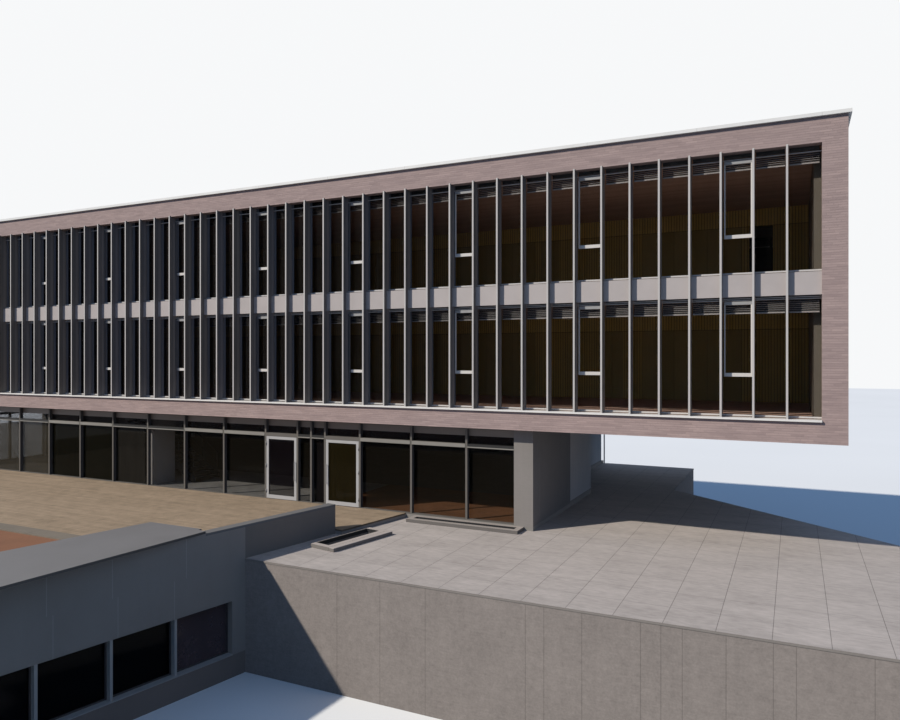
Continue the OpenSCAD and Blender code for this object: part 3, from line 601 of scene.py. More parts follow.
@dataclass(frozen=True)
class PaintedMetal:
    """Coated sheet or section metal, slightly uneven, with lengths butted at a pitch if it has one."""

    name: str
    colour: Colour
    flank: Colour | None = None
    pitch: float = 0.0
    start: float = 0.0
    butt_w: float = 0.006
    roughness: float = 0.42
    unevenness: float = 0.1

    def material(self) -> bpy.types.Material:
        """Coats the metal, with another colour on its upright faces if it has one."""
        graph = Graph(self.name)
        x, _, _ = graph.place()
        _, _, upward = graph.facing()
        dust = graph.cloud(1.6, 6.0, 0.6)
        grain = graph.stretched((30.0, 30.0, 4.0), 4.0, 3.0)
        shade = 1 + (dust - 0.5) * (2 * self.unevenness) + (grain - 0.5) * 0.05
        if self.pitch:
            shade = shade * (1 - graph.joint(x, self.pitch, self.butt_w, self.start) * 0.45)
        colour: Feed = self.colour
        if self.flank is not None:
            colour = graph.mix(abs(upward) < LEVEL, self.colour, self.flank)
        roughness = self.roughness + (dust - 0.5) * 0.3
        return graph.finish(graph.scaled(colour, shade), roughness, grain, 0.0003, specular=0.4)


@dataclass(frozen=True)
class FinMetal:
    """The fins: pale fronts, grey sides with a paler guide strip, and a dark seal by the glass."""

    name: str = "fin_metal"
    front: Colour = paint(188, 184, 182)
    side: Colour = paint(112, 109, 111)
    guide: Span = (0.12, 0.235)
    warm_side: Colour = paint(114, 108, 102)

    def material(self) -> bpy.types.Material:
        """Coats the fins by depth, alike at the front and the rear."""
        graph = Graph(self.name)
        x, y, _ = graph.place()
        across, _, _ = graph.facing()
        depth = MIDDLE_Y - abs(y - MIDDLE_Y)
        guide = graph.between(depth, *self.guide)
        seal = depth > self.guide[1]
        nose = depth < 0.0
        tone = graph.chance((x / BAY_W + 0.5).floor(), 2.0)
        dust = graph.stretched((4.0, 4.0, 0.5), 1.0, 5.0)
        shade = (0.84 + tone * 0.12 + dust * 0.4) * (1 + guide * 0.45 + seal * 0.1 - nose * 0.25)
        side = graph.scaled(graph.mix(tone, self.side, self.warm_side), shade)
        front = graph.scaled(self.front, 0.92 + dust * 0.16)
        colour = graph.mix(abs(across) > STEEP, front, side)
        return graph.finish(colour, 0.5, dust, 0.0003)


@dataclass(frozen=True)
class WingFrameMetal:
    """The wing's window frames: pale posts and sill board, with dark sashes deep in the wall."""

    name: str = "wing_frame_metal"
    pale: Colour = paint(162, 160, 158)
    sash: Colour = paint(58, 58, 62)
    sash_out: float = -0.178

    def material(self) -> bpy.types.Material:
        """Coats the frames by their depth in the slanting wall."""
        graph = Graph(self.name)
        out, _ = graph.by_wing()
        dust = graph.cloud(2.0, 6.0, 0.6)
        colour = graph.mix(out < self.sash_out, self.pale, self.sash)
        return graph.finish(graph.scaled(colour, 0.88 + dust * 0.24), 0.4 + dust * 0.2, dust, 0.0003,
                            specular=0.35)


@dataclass(frozen=True)
class HallMetal:
    """The hall's framing: dark grey, duller at its sides, nearly black where a thin cap crosses it."""

    name: str = "hall_metal"
    front: Colour = paint(96, 92, 88)
    side: Colour = paint(76, 76, 78)
    shut: Colour = paint(34, 34, 35)
    transom: Span = (5.42, 5.56)
    thin: tuple[Span, ...] = ((-18.0, -12.11), (-8.11, -4.11), (1.33, 2.52), (7.96, 9.6))
    mullions: tuple[float, ...] = (-16.11, -14.11, -12.11, -8.11, -6.11, -4.11, 1.33, 1.925, 2.52, 7.96)
    mullion_w: float = 0.07

    def material(self) -> bpy.types.Material:
        """Coats the mullions and rails."""
        graph = Graph(self.name)
        x, y, z = graph.place()
        across, _, _ = graph.facing()
        dust = graph.cloud(1.6, 6.0, 0.6)
        grain = graph.stretched((30.0, 30.0, 4.0), 4.0, 3.0)
        colour = graph.mix(abs(across) > STEEP, self.front, self.side)
        bays = graph.between(x, *self.thin[0])
        for bay in self.thin[1:]:
            bays = bays.either(graph.between(x, *bay))
        crossed = bays.both(graph.between(z, *self.transom)).both(y < FRONT_Y)
        crossed = crossed.both(1 - graph.lines(x, self.mullions, self.mullion_w))
        colour = graph.mix(crossed, colour, self.shut)
        return graph.finish(graph.scaled(colour, 0.9 + dust * 0.2), 0.42 + dust * 0.2, grain, 0.0003,
                            specular=0.35)


@dataclass(frozen=True)
class CasementMetal:
    """The opening casements: pale frames with duller head rails, and darker stiles toward the left."""

    name: str = "casement_metal"
    colour: Colour = paint(206, 201, 197)
    head: Colour = paint(150, 149, 150)
    heads: tuple[Span, ...] = ((9.70, 9.8), (13.46, 13.56))
    stile: Colour = paint(100, 99, 103)
    stile_w: float = 0.16
    stile_end: float = 5.0

    def material(self) -> bpy.types.Material:
        """Coats the frames."""
        graph = Graph(self.name)
        x, y, z = graph.place()
        dust = graph.stretched((6.0, 6.0, 1.0), 1.2, 5.0)
        heads = graph.between(z, *self.heads[0]).either(graph.between(z, *self.heads[1]))
        colour = graph.mix(heads, self.colour, self.head)
        stile = (x / BAY_W + 0.5).fraction() < self.stile_w / BAY_W
        colour = graph.mix(stile.both(x < self.stile_end).both(y < FRONT_Y), colour, self.stile)
        return graph.finish(graph.scaled(colour, 0.9 + dust * 0.2), 0.36 + dust * 0.2, dust, 0.0003,
                            specular=0.4)


@dataclass(frozen=True)
class StoreyFinish:
    """A storey slab: floor finish on top, ceiling under it, concrete at its edges."""

    name: str
    floor: Colour
    ceiling: Colour
    far_floor: Colour | None = None
    change_x: float = 0.0
    dim_x: float = -8.1
    dim_y: float = 4.9
    edge: Colour = paint(128, 124, 120)
    tile: float = 0.3
    joint_w: float = 0.006
    board_w: float = 0.15

    def material(self) -> bpy.types.Material:
        """Lays the tiles above and the ceiling boards below."""
        graph = Graph(self.name)
        x, y, _ = graph.place()
        _, _, upward = graph.facing()
        joints = graph.joint(x, self.tile, self.joint_w).either(graph.joint(y, self.tile, self.joint_w))
        tone = graph.chance((x / self.tile).floor(), (y / self.tile).floor())
        clouds = graph.cloud(1.2, 5.0, 0.6)
        floor: Feed = self.floor
        if self.far_floor is not None:
            floor = graph.mix(x < self.change_x, self.floor, self.far_floor)
            dim = (x < self.dim_x).either(y > self.dim_y)
            floor = graph.mix(dim, floor, graph.scaled(self.far_floor, 0.3))
        floor = graph.scaled(floor, (0.72 + tone * 0.2 + clouds * 0.36) * (1 - joints * 0.4))
        top = upward > LEVEL
        colour = graph.mix(top, graph.scaled(self.edge, 0.8 + clouds * 0.4), floor)
        colour = graph.mix(upward < -LEVEL, colour, graph.ceiling(self.ceiling, self.board_w, 7.0, clouds))
        height = (1 - joints.both(top)) + clouds * 0.2
        return graph.finish(colour, 0.5 + clouds * 0.3, height, 0.001, specular=0.35)


@dataclass(frozen=True)
class RoofFinish:
    """The roof: grey sheeting with welded laps on top, the storey's ceiling under it."""

    name: str = "roof_sheeting"
    sheet: Colour = paint(150, 149, 146)
    ceiling: Colour = paint(216, 182, 160)
    lap: float = 1.5
    lap_w: float = 0.03
    board_w: float = 0.15

    def material(self) -> bpy.types.Material:
        """Lays the sheets and hangs the ceiling."""
        graph = Graph(self.name)
        _, y, _ = graph.place()
        _, _, upward = graph.facing()
        laps = graph.joint(y, self.lap, self.lap_w)
        clouds = graph.cloud(0.5, 6.0, 0.65)
        puddles = graph.cloud(0.12, 2.0)
        sheet = graph.scaled(self.sheet, (0.62 + clouds * 0.5 + puddles * 0.25) * (1 - laps * 0.25))
        colour = graph.mix(upward < -LEVEL, sheet, graph.ceiling(self.ceiling, self.board_w, 5.0, clouds))
        return graph.finish(colour, 0.7 + clouds * 0.2, clouds + laps, 0.002)


@dataclass(frozen=True)
class BattenedWall:
    """Inner walls: painted, with narrow upright battens and a paler band over the door heads."""

    name: str
    colour: Colour
    pitch: float = 0.1
    groove: float = 0.022
    rail_h: float = 0.03
    bands: tuple[Span, ...] = ((9.32, 10.2), (13.1, 14.0))

    def material(self) -> bpy.types.Material:
        """Sets the battens along the wall."""
        graph = Graph(self.name)
        _, _, z = graph.place()
        along, _, end = graph.wall_plane()
        grooves = graph.joint(along, self.pitch, self.groove)
        tone = graph.chance((along / self.pitch).floor(), end)
        grain = graph.stretched((20.0, 20.0, 0.8), 2.0, 5.0)
        broad = graph.cloud(0.4, 3.0)
        band = graph.between(z, *self.bands[0]).either(graph.between(z, *self.bands[1]))
        rail = graph.lines(z, [foot for foot, _ in self.bands], self.rail_h)
        shade = (0.62 + tone * 0.16 + grain * 0.34 + broad * 0.28) * (1 - grooves * 0.6)
        shade = shade * (1 + band * 0.25) * (1 - rail * 0.5)
        height = (1 - grooves) + grain * 0.1
        return graph.finish(graph.scaled(self.colour, shade), 0.6 + grain * 0.2, height, 0.004)


@dataclass
class Pane:
    """What a sheet of glass shows: its colour, how much of it that covers, and the runs of dust on it."""

    graph: Graph
    colour: Wire
    cover: Wire
    runs: Wire

    def tint(self, mask: Wire, tint: Colour, faint: float = 0.5, streaky: float = 1.0) -> None:
        """Lays a streaky tint over part of the glass.

        Args:
            mask: 1 where the tint lies.
            tint: Its colour.
            faint: Its least strength.
            streaky: How much the runs add to that.
        """
        laid = self.graph.scaled(tint, faint + self.runs * streaky)
        self.colour = self.graph.mix(mask, self.colour, laid)

    def close(self, mask: Wire, share: Feed) -> None:
        """Gives part of the glass another cover."""
        self.cover = self.cover + (share - self.cover) * mask


@dataclass(frozen=True)
class ClearGlass:
    """Double glazing, dark and clear at the front, and mirroring the sky at the rear."""

    name: str
    tint: Colour = paint(12, 12, 12)
    cover: float = 0.3
    rear: Colour = paint(30, 36, 44)
    rear_cover: float = 0.98

    def material(self) -> bpy.types.Material:
        """Floats the glass."""
        graph = Graph(self.name)
        _, y, _ = graph.place()
        dust = graph.cloud(1.3, 6.0, 0.65)
        runs = graph.stretched((9.0, 9.0, 0.6), 1.2)
        rear = y > MIDDLE_Y
        colour = graph.scaled(graph.mix(rear, self.tint, self.rear), 0.7 + dust * 0.5 + runs * 0.3)
        pane = Pane(graph, colour, self.cover + (dust - 0.5) * 0.08 + (runs - 0.5) * 0.05, runs)
        self.mirror(pane, 1 - rear)
        pane.close(rear, self.rear_cover)
        return graph.finish(pane.colour, 0.015 + dust * 0.03, specular=0.04, Alpha=pane.cover,
                            Coat_Weight=rear * 0.5)

    def mirror(self, pane: Pane, front: Wire) -> None:
        """Lays over the glass what it mirrors, each kind of glass in its own way.

        Args:
            pane: What the glass shows.
            front: 1 on the front's glass.
        """


@dataclass(frozen=True)
class RoomGlass(ClearGlass):
    """The classrooms' glass, which mirrors the fins beside it where it is seen aslant, to the left."""

    clear_x: float = 11.0
    rate: float = 0.032
    most: float = 0.5
    far_tint: Colour = paint(31, 28, 28)
    fin_tint: Colour = paint(112, 110, 114)
    fin_cover: float = 0.95
    strip_growth: float = 0.35
    strip_w: float = 0.025
    strip_from: float = 0.08

    def mirror(self, pane: Pane, front: Wire) -> None:
        """Dims the far bays, and lays a grey strip beside each fin there."""
        x, _, _ = pane.graph.place()
        far = ((self.clear_x - x) * self.rate).either(0.0).both(self.most)
        width = (far * self.strip_growth + self.strip_w) * (far > self.strip_from)
        beside = ((x / BAY_W + 0.5).fraction() < width).both(front)
        pane.tint((far * far * 4).both(front), self.far_tint)
        pane.cover = pane.cover + far
        pane.tint(beside, self.fin_tint, 0.7, 0.6)
        pane.close(beside, self.fin_cover)


@dataclass(frozen=True)
class HallGlass(ClearGlass):
    """The hall's glass, whose bays mirror different things, with warmer lights over the transom."""

    bays: tuple[tuple[float, float, Colour, float], ...] = (
        (-17.97, -12.15, paint(66, 61, 52), 0.38),
        (-12.11, -8.11, paint(21, 20, 15), 0.8),
        (-8.11, -6.4, paint(35, 33, 30), 0.8),
        (-0.11, 1.33, paint(22, 18, 21), 0.45),
        (1.96, 2.52, paint(20, 18, 19), 0.8),
        (2.52, 3.96, paint(31, 26, 13), 0.78))
    light_x: float = -12.15
    light_z: float = 5.55
    light_tint: Colour = paint(46, 37, 35)
    light_cover: float = 0.5
    end_x: float = -17.97
    end_z: float = 5.0
    end_tint: Colour = paint(62, 55, 45)
    end_cover: Span = (0.25, 0.68)

    def mirror(self, pane: Pane, front: Wire) -> None:
        """Tints the bays, the lights over the transom, and the glass at the hall's left end."""
        graph = pane.graph
        x, y, z = graph.place()
        for low, high, tint, share in self.bays:
            bay = graph.between(x, low, high).both(y < FRONT_Y)
            pane.tint(bay, tint)
            pane.close(bay, share)
        lights = (z > self.light_z).both(x > self.light_x).both(front)
        pane.tint(lights, self.light_tint)
        pane.close(lights, self.light_cover)
        upper, lower = self.end_cover
        end = x < self.end_x
        pane.colour = graph.mix(end.both(z < self.end_z), pane.colour, self.end_tint)
        pane.close(end, (z > self.end_z) * (upper - lower) + lower)


@dataclass(frozen=True)
class WingGlass:
    """The wing's glazing, nearly black, with a warmer sheen on the pane by the corner."""

    name: str = "wing_glazing"
    tint: Colour = paint(9, 9, 12)
    sheen: Colour = paint(92, 78, 80)
    corner_y: float = -7.6
    cover: float = 0.78

    def material(self) -> bpy.types.Material:
        """Floats the glass."""
        graph = Graph(self.name)
        _, y, _ = graph.place()
        dust = graph.cloud(1.3, 6.0, 0.65)
        runs = graph.stretched((1.2, 1.2, 0.3), 1.4, 3.0)
        corner = y > self.corner_y
        colour = graph.scaled(graph.mix(corner, self.tint, self.sheen), 0.5 + dust * 0.5 + runs * 0.5)
        return graph.finish(colour, 0.02 + dust * 0.03, Alpha=self.cover + (dust - 0.5) * 0.1,
                            specular=0.04)


class Edge(Enum):
    """Which edges of a new piece a bevel takes."""

    ALL = "all"
    ALONG_X = "along_x"
    ALONG_Z = "along_z"


class Bench:
    """Makes pieces by hand tools: primitives at their size and place, shaped in edit mode."""

    @staticmethod
    def clear() -> None:
        """Leaves nothing selected."""
        if bpy.context.object is not None and bpy.context.object.mode != "OBJECT":
            bpy.ops.object.mode_set(mode="OBJECT")
        bpy.ops.object.select_all(action="DESELECT")

    @staticmethod
    def take(piece: bpy.types.Object) -> None:
        """Selects one piece alone and makes it the active one."""
        Bench.clear()
        bpy.context.view_layer.objects.active = piece
        piece.select_set(True)

    @staticmethod
    def settle() -> None:
        """Puts the selected piece's place, turn and size in its mesh."""
        bpy.ops.object.transform_apply(location=True, rotation=True, scale=True)

    @staticmethod
    def block(name: str, low: Point, high: Point) -> bpy.types.Object:
        """Adds a block between two corners, with its place in its mesh.

        Args:
            name: The piece's name.
            low: Its lowest corner.
            high: Its highest corner.

        Returns:
            The piece, alone selected.
        """
        Bench.clear()
        middle = [(top + foot) / 2 for foot, top in zip(low, high)]
        bpy.ops.mesh.primitive_cube_add(size=1.0, location=middle)
        piece = bpy.context.object
        piece.name = name
        piece.scale = [top - foot for foot, top in zip(low, high)]
        Bench.settle()
        return piece

    @staticmethod
    def pick(piece: bpy.types.Object, kind: str, wanted: Callable[[object], bool]) -> None:
        """Enters edit mode with some edges or faces selected.

        Args:
            piece: The piece.
            kind: EDGE or FACE.
            wanted: Tells if an edge or face is taken.
        """
        Bench.take(piece)
        bpy.ops.object.mode_set(mode="EDIT")
        bpy.ops.mesh.select_mode(type=kind)
        bpy.ops.mesh.select_all(action="DESELECT")
        mesh = bmesh.from_edit_mesh(piece.data)
        for part in mesh.faces if kind == "FACE" else mesh.edges:
            part.select_set(wanted(part))
        bmesh.update_edit_mesh(piece.data)

    @staticmethod
    def bevel(piece: bpy.types.Object, width: float, segments: int = 1, edges: Edge = Edge.ALL) -> None:
        """Rounds or chamfers edges in edit mode.

        Args:
            piece: The piece, which stays selected.
            width: Width of the bevel.
            segments: Faces across it.
            edges: Which edges it takes.
        """
        straight = 0.99

        def wanted(edge: bmesh.types.BMEdge) -> bool:
            """Tells if an edge runs the way that the bevel takes."""
            run = (edge.verts[1].co - edge.verts[0].co).normalized()
            along = {Edge.ALL: 1.0, Edge.ALONG_X: abs(run.x), Edge.ALONG_Z: abs(run.z)}
            return along[edges] > straight

        Bench.pick(piece, "EDGE", wanted)
        bpy.ops.mesh.bevel(offset=width, segments=segments, affect="EDGES")
        Bench.leave()

    @staticmethod
    def leave() -> None:
        """Goes back to object mode."""
        bpy.ops.object.mode_set(mode="OBJECT")

    @staticmethod
    def row(piece: bpy.types.Object, count: int, step: Point) -> None:
        """Repeats a piece in a straight row.

        Args:
            piece: The piece.
            count: How many there are.
            step: The way from one to the next.
        """
        array = piece.modifiers.new("row", "ARRAY")
        array.use_relative_offset = False
        array.use_constant_offset = True
        array.constant_offset_displace = step
        array.count = count
        Bench.take(piece)
        bpy.ops.object.modifier_apply(modifier=array.name)

    @staticmethod
    def merge(name: str, pieces: Sequence[bpy.types.Object]) -> bpy.types.Object:
        """Makes one piece of several.

        Args:
            name: The new piece's name.
            pieces: The pieces that it takes in.

        Returns:
            The one piece.
        """
        Bench.take(pieces[0])
        for piece in pieces[1:]:
            piece.select_set(True)
        bpy.ops.object.join()
        merged = bpy.context.view_layer.objects.active
        merged.name = name
        return merged

    @staticmethod
    def rod(name: str, start: Point, end: Point, radius: float, sides: int) -> bpy.types.Object:
        """Makes a round bar between two points with chamfered ends.

        Args:
            name: The piece's name.
            start: One end.
            end: The other end.
            radius: The bar's radius.
            sides: Flats round the bar.

        Returns:
            The bar, with its place in its mesh.
        """
        Bench.clear()
        way = Vector(end) - Vector(start)
        turn = way.to_track_quat("Z", "Y").to_euler()
        middle = (Vector(start) + Vector(end)) / 2
        bpy.ops.mesh.primitive_cylinder_add(
            vertices=sides, radius=radius, depth=way.length, location=middle, rotation=turn)
        bar = bpy.context.object
        bar.name = name
        Bench.settle()
        axis = way.normalized()
        chamfer = 0.3
        Bench.pick(bar, "FACE", lambda face: abs(face.normal.dot(axis)) > SQUARE)
        bpy.ops.mesh.bevel(offset=radius * chamfer, segments=1, affect="EDGES")
        Bench.leave()
        return bar


def coat(piece: bpy.types.Object, material: bpy.types.Material) -> None:
    """Gives every face of a piece one finish."""
    piece.data.materials.clear()
    piece.data.materials.append(material)
    for face in piece.data.polygons:
        face.material_index = 0


def dress(piece: bpy.types.Object, material: bpy.types.Material, body: str = BUILDING) -> None:
    """Gives a finished piece its finish and its body.

    Args:
        piece: The piece.
        material: Its finish.
        body: The body that it rides on.
    """
    coat(piece, material)
    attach(piece, body)
    log.info("%s: %d faces on %s", piece.name, len(piece.data.polygons), body)


# Places along X of the joints in the terrace's front wall
TERRACE_JOINTS = (
    7.21, 8.44, 9.66, 12.11, 12.53, 13.36, 14.57, 14.97, 15.38, 16.19, 17.02, 17.41, 18.67)
# Nodes that take each finish
PLAN = {
    "fair_concrete": "lower_floor wing_roof_slab deck_slab",
    "lower_walls": "lower_outer_walls",
    "terrace_panels": "terrace_front_wall",
    "terrace_sides": "terrace_side_walls",
    "wing_concrete": "wing_sill_wall wing_upper_wall",
    "upstand_concrete": "wing_upstand",
    "wing_frame_metal": "wing_window_frames",
    "wing_glazing": "wing_glass",
    "wide_sheet_metal": "wing_coping",
    "edge_sheet_metal": "wing_edge_copings",
    "play_granules": "play_surface",
    "weathered_boards": "timber_deck",
    "kerb_concrete": "deck_kerb",
    "precast_paving": "terrace_slab",
    "well_kerbs": "light_well_kerbs",
    "hall_floor": "ground_floor_slab",
    "hall_concrete": "hall_walls",
    "stair_concrete": "stair_treads",
    "stair_metal": "stair_strings",
    "hall_metal": "hall_frames door_heads",
    "header_metal": "hall_header",
    "hall_glazing": "hall_glass left_door_glass right_door_glass",
    "door_metal": "left_door right_door",
    "first_storey": "first_floor_slab",
    "second_storey": "second_floor_slab",
    "roof_sheeting": "roof_slab",
    "fired_brick": "brick_bands gable_walls",
    "coping_metal": "roof_coping",
    "sill_metal": "window_sills",
    "fin_metal": "window_fins",
    "spandrel_panels": "spandrels",
    "casement_metal": "casements",
    "blind_slats": "blinds",
    "room_glass": "first_floor_glass second_floor_glass",
    "battened_wall": "corridor_walls",
    "joinery_boards": "classroom_joinery",
}


@dataclass
class Shell:
    """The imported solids, each with its finish."""

    finishes: dict[str, bpy.types.Material] = field(default_factory=dict)

    def mix_finishes(self) -> None:
        """Mixes every finish once."""
        terrace = {"colour": paint(141, 132, 127), "fine": 0.26, "joint_depth": 0.26, "blotches": 0.6}
        recipes = [
            Brickwork(),
            CastConcrete("fair_concrete", paint(146, 140, 135)),
            HallConcrete("hall_concrete", paint(131, 126, 123), cloudiness=0.1),
            CastConcrete("terrace_panels", places=TERRACE_JOINTS, **terrace),
            CastConcrete("terrace_sides", pitch=1.215, **terrace),
            CastConcrete("kerb_concrete", paint(119, 110, 99), pitch=2.0),
            WellConcrete("well_kerbs", paint(174, 164, 158), cloudiness=0.08),
            CastConcrete("lower_walls", paint(146, 140, 134), pitch=2.4),
            WingConcrete(),
            WingConcrete("upstand_concrete", paint(118, 112, 107)),
            SlabPaving(),
            DeckBoards(),
            CastRubber(),
            WingFrameMetal(),
            HallMetal(),
            PaintedMetal("cap_metal", paint(132, 129, 124)),
            PaintedMetal("stair_metal", paint(52, 52, 54)),
            CastConcrete("stair_concrete", paint(58, 56, 56)),
            CasementMetal(),
            PaintedMetal("wide_sheet_metal", paint(112, 110, 111), flank=paint(58, 60, 64), roughness=0.6,
                         unevenness=0.14),
            PaintedMetal("edge_sheet_metal", paint(106, 105, 106), flank=paint(96, 97, 100), roughness=0.55),
            FinMetal(),
            PaintedMetal("frame_metal", paint(206, 201, 197), roughness=0.38),
            PaintedMetal("coping_metal", paint(226, 224, 222), pitch=3.0, roughness=0.4),
            PaintedMetal("sill_metal", paint(222, 218, 215), pitch=3.2, start=0.4, roughness=0.4),
            PaintedMetal("door_metal", paint(170, 169, 170)),
            PaintedMetal("header_metal", paint(122, 112, 106), pitch=2.0, start=-0.11),
            PaintedMetal("spandrel_panels", paint(173, 165, 164), roughness=0.5, unevenness=0.12),
            PaintedMetal("blind_slats", paint(70, 68, 69), roughness=0.5),
            PaintedMetal("blind_bars", paint(196, 188, 184), roughness=0.5),
            CastConcrete("plaster", paint(118, 110, 100), cloudiness=0.06, fine=0.04),
            StoreyFinish("hall_floor", paint(134, 92, 64), paint(150, 146, 141),
                         far_floor=paint(150, 148, 146), change_x=2.52),
            StoreyFinish("first_storey", paint(192, 158, 142), paint(120, 119, 120), board_w=0.6),
            StoreyFinish("second_storey", paint(178, 150, 138), paint(186, 164, 148)),
            RoofFinish(),
            BattenedWall("battened_wall", paint(212, 180, 98)),
            BattenedWall("joinery_boards", paint(180, 156, 90), pitch=0.6, groove=0.012),
            RoomGlass("room_glass", cover=0.15),
            HallGlass("hall_glazing", paint(31, 28, 23), cover=0.24),
            WingGlass(),
        ]
        for recipe in recipes:
            self.finishes[recipe.name] = recipe.material()

    def dress_nodes(self) -> None:
        """Puts each finish on its nodes."""
        plan = {name: finish for finish, names in PLAN.items() for name in names.split()}
        for name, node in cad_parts.items():
            coat(node, self.finishes[plan[name]])
            log.info("%s takes %s", name, plan[name])


@dataclass
class RaisedBlinds:
    """Slatted blinds drawn up behind the heads of both window rows, one to a bay."""

    slat_finish: bpy.types.Material
    bar_finish: bpy.types.Material
    bays: int = 45
    clear: float = 0.05
    depth: float = 0.046
    stack_h: float = 0.445
    storey: float = 3.83
    slat_t: float = 0.012
    slat_h: float = 0.045
    slat_pitch: float = 0.052
    slats: int = 6
    bead_h: float = 0.008
    bead_t: float = 0.005
    bead_arris: float = 0.0015
    bar_h: float = 0.028
    arris: float = 0.004
    seat: float = 0.002

    def build(self) -> None:
        """Builds the four rows, two to a front."""
        low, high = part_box("blinds")
        heads = {"first": high.z - self.storey, "second": high.z}
        sides = {"front": low.y + self.seat, "rear": high.y - self.seat - self.depth}
        for storey, head in heads.items():
            for side, y in sides.items():
                self.row(f"blinds_{storey}_{side}", low.x, y, head)

    def row(self, name: str, x: float, y: float, head: float) -> None:
        """Builds one row of blinds.

        Args:
            name: The piece's name.
            x: The row's left end.
            y: Its outer face.
            head: Height of its head.
        """
        left = x + self.clear
        right = x + BAY_W - self.clear
        back = y + self.depth
        foot = head - self.stack_h
        slat_z = foot + self.bar_h + self.seat
        slat = Bench.block(name, (left, y + self.bead_t, slat_z),
                           (right, y + self.bead_t + self.slat_t, slat_z + self.slat_h))
        lean = self.depth - self.slat_t - self.bead_t
        Bench.pick(slat, "FACE", lambda face: face.normal.z > SQUARE)
        bpy.ops.transform.translate(value=(0, lean, 0))
        Bench.leave()
        Bench.row(slat, self.slats, (0, 0, self.slat_pitch))
        box_foot = slat_z + self.slats * self.slat_pitch + self.seat
        head_box = Bench.block("head_box", (left, y, box_foot), (right, back, head))
        Bench.bevel(head_box, self.arris, 1, Edge.ALONG_X)
        stack = Bench.merge(name, [slat, head_box])
        Bench.row(stack, self.bays, (BAY_W, 0, 0))
        dress(stack, self.slat_finish)
        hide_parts("blinds")
        bead = Bench.block("bead", (left, y, slat_z), (right, y + self.bead_t, slat_z + self.bead_h))
        Bench.bevel(bead, self.bead_arris, 1, Edge.ALONG_X)
        Bench.row(bead, self.slats, (0, 0, self.slat_pitch))
        bar = Bench.block("bar", (left, y, foot), (right, back, foot + self.bar_h))
        Bench.bevel(bar, self.arris, 1, Edge.ALONG_X)
        bars = Bench.merge(f"{name}_bars", [bead, bar])
        Bench.row(bars, self.bays, (BAY_W, 0, 0))
        dress(bars, self.bar_finish)


@dataclass
class GableLinings:
    """Plastered linings inside both gables, between the window wall and the corridor wall."""

    finish: bpy.types.Material
    inner_x: float = 18.0
    thickness: float = 0.18
    front_y: float = 0.62
    rear_y: float = 8.195
    storeys: tuple[Span, ...] = ((6.67, 9.9), (10.45, 13.73))
    arris: float = 0.012

    def build(self) -> None:
        """Builds a lining at each end of each storey."""
        for number, (floor, ceiling) in enumerate(self.storeys, start=1):
            for side, name in ((1, "right"), (-1, "left")):
                ends = sorted((side * self.inner_x, side * (self.inner_x - self.thickness)))
                lining = Bench.block(f"gable_lining_{name}_{number}", (ends[0], self.front_y, floor),
                                     (ends[1], self.rear_y, ceiling))
                Bench.bevel(lining, self.arris, 2, Edge.ALONG_Z)
                dress(lining, self.finish)


@dataclass
class HallTransoms:
    """Caps clipped on the hall's transoms: deep ones by the main lights, thin ones elsewhere."""

    finish: bpy.types.Material
    front_y: float = 0.43
    proud: float = 0.012
    foot_z: float = 5.43
    head_z: float = 5.55
    thin_h: float = 0.035
    half_mullion: float = 0.035
    arris: float = 0.003
    deep: tuple[Span, ...] = (
        (-12.11, -10.11), (-10.11, -8.11), (-4.11, -2.11), (-2.11, -0.11), (3.96, 5.96), (5.96, 7.96))
    thin: tuple[Span, ...] = (
        (-18.0, -16.11), (-16.11, -14.11), (-14.11, -12.11), (-8.11, -6.11), (-6.11, -4.11),
        (1.33, 1.925), (1.925, 2.52), (7.96, 9.605))

    def build(self) -> None:
        """Clips a cap on each bay's transom, between its two mullions."""
        caps = []
        for bays, head in ((self.deep, self.head_z), (self.thin, self.foot_z + self.thin_h)):
            for start, end in bays:
                cap = Bench.block("cap", (start + self.half_mullion, self.front_y - self.proud, self.foot_z),
                                  (end - self.half_mullion, self.front_y, head))
                Bench.bevel(cap, self.arris, 1, Edge.ALONG_X)
                caps.append(cap)
        dress(Bench.merge("transom_caps", caps), self.finish)


@dataclass
class StairRails:
    """Round handrails with posts on both strings of the hall's stair."""

    finish: bpy.types.Material
    foot_x: float = -5.0
    foot_z: float = 3.13
    top_z: float = 6.67
    going: float = 0.28
    risers: int = 20
    sides: Span = (1.925, 3.275)
    rail_h: float = 0.95
    rail_r: float = 0.021
    post_r: float = 0.014
    post_foot: float = 0.12
    mid_height: float = 0.52
    mid_radius: float = 0.7
    ends: Span = (0.3, 0.2)
    every: int = 3

    def build(self) -> None:
        """Builds a rail and its posts at each side of the flight."""
        rise = (self.top_z - self.foot_z) / self.risers
        last = self.risers - 2
        first_x = self.foot_x - self.ends[0] * self.going
        last_x = self.foot_x - (last - self.ends[1]) * self.going
        slope = rise / self.going
        middle = (self.rail_h * self.mid_height, self.post_r * self.mid_radius)
        parts = []
        for y in self.sides:
            for step in range(1, last + 1, self.every):
                x = self.foot_x - (step - 0.5) * self.going
                z = self.foot_z + step * rise
                parts.append(Bench.rod(
                    "post", (x, y, z - self.post_foot), (x, y, z + self.rail_h), self.post_r, 8))
            for height, radius in ((self.rail_h, self.rail_r), middle):
                foot = self.foot_z + rise * 0.5 + height
                parts.append(Bench.rod(
                    "rail", (first_x, y, foot + (self.foot_x - first_x) * slope),
                    (last_x, y, foot + (self.foot_x - last_x) * slope), radius, 12))
        dress(Bench.merge("stair_rails", parts), self.finish)


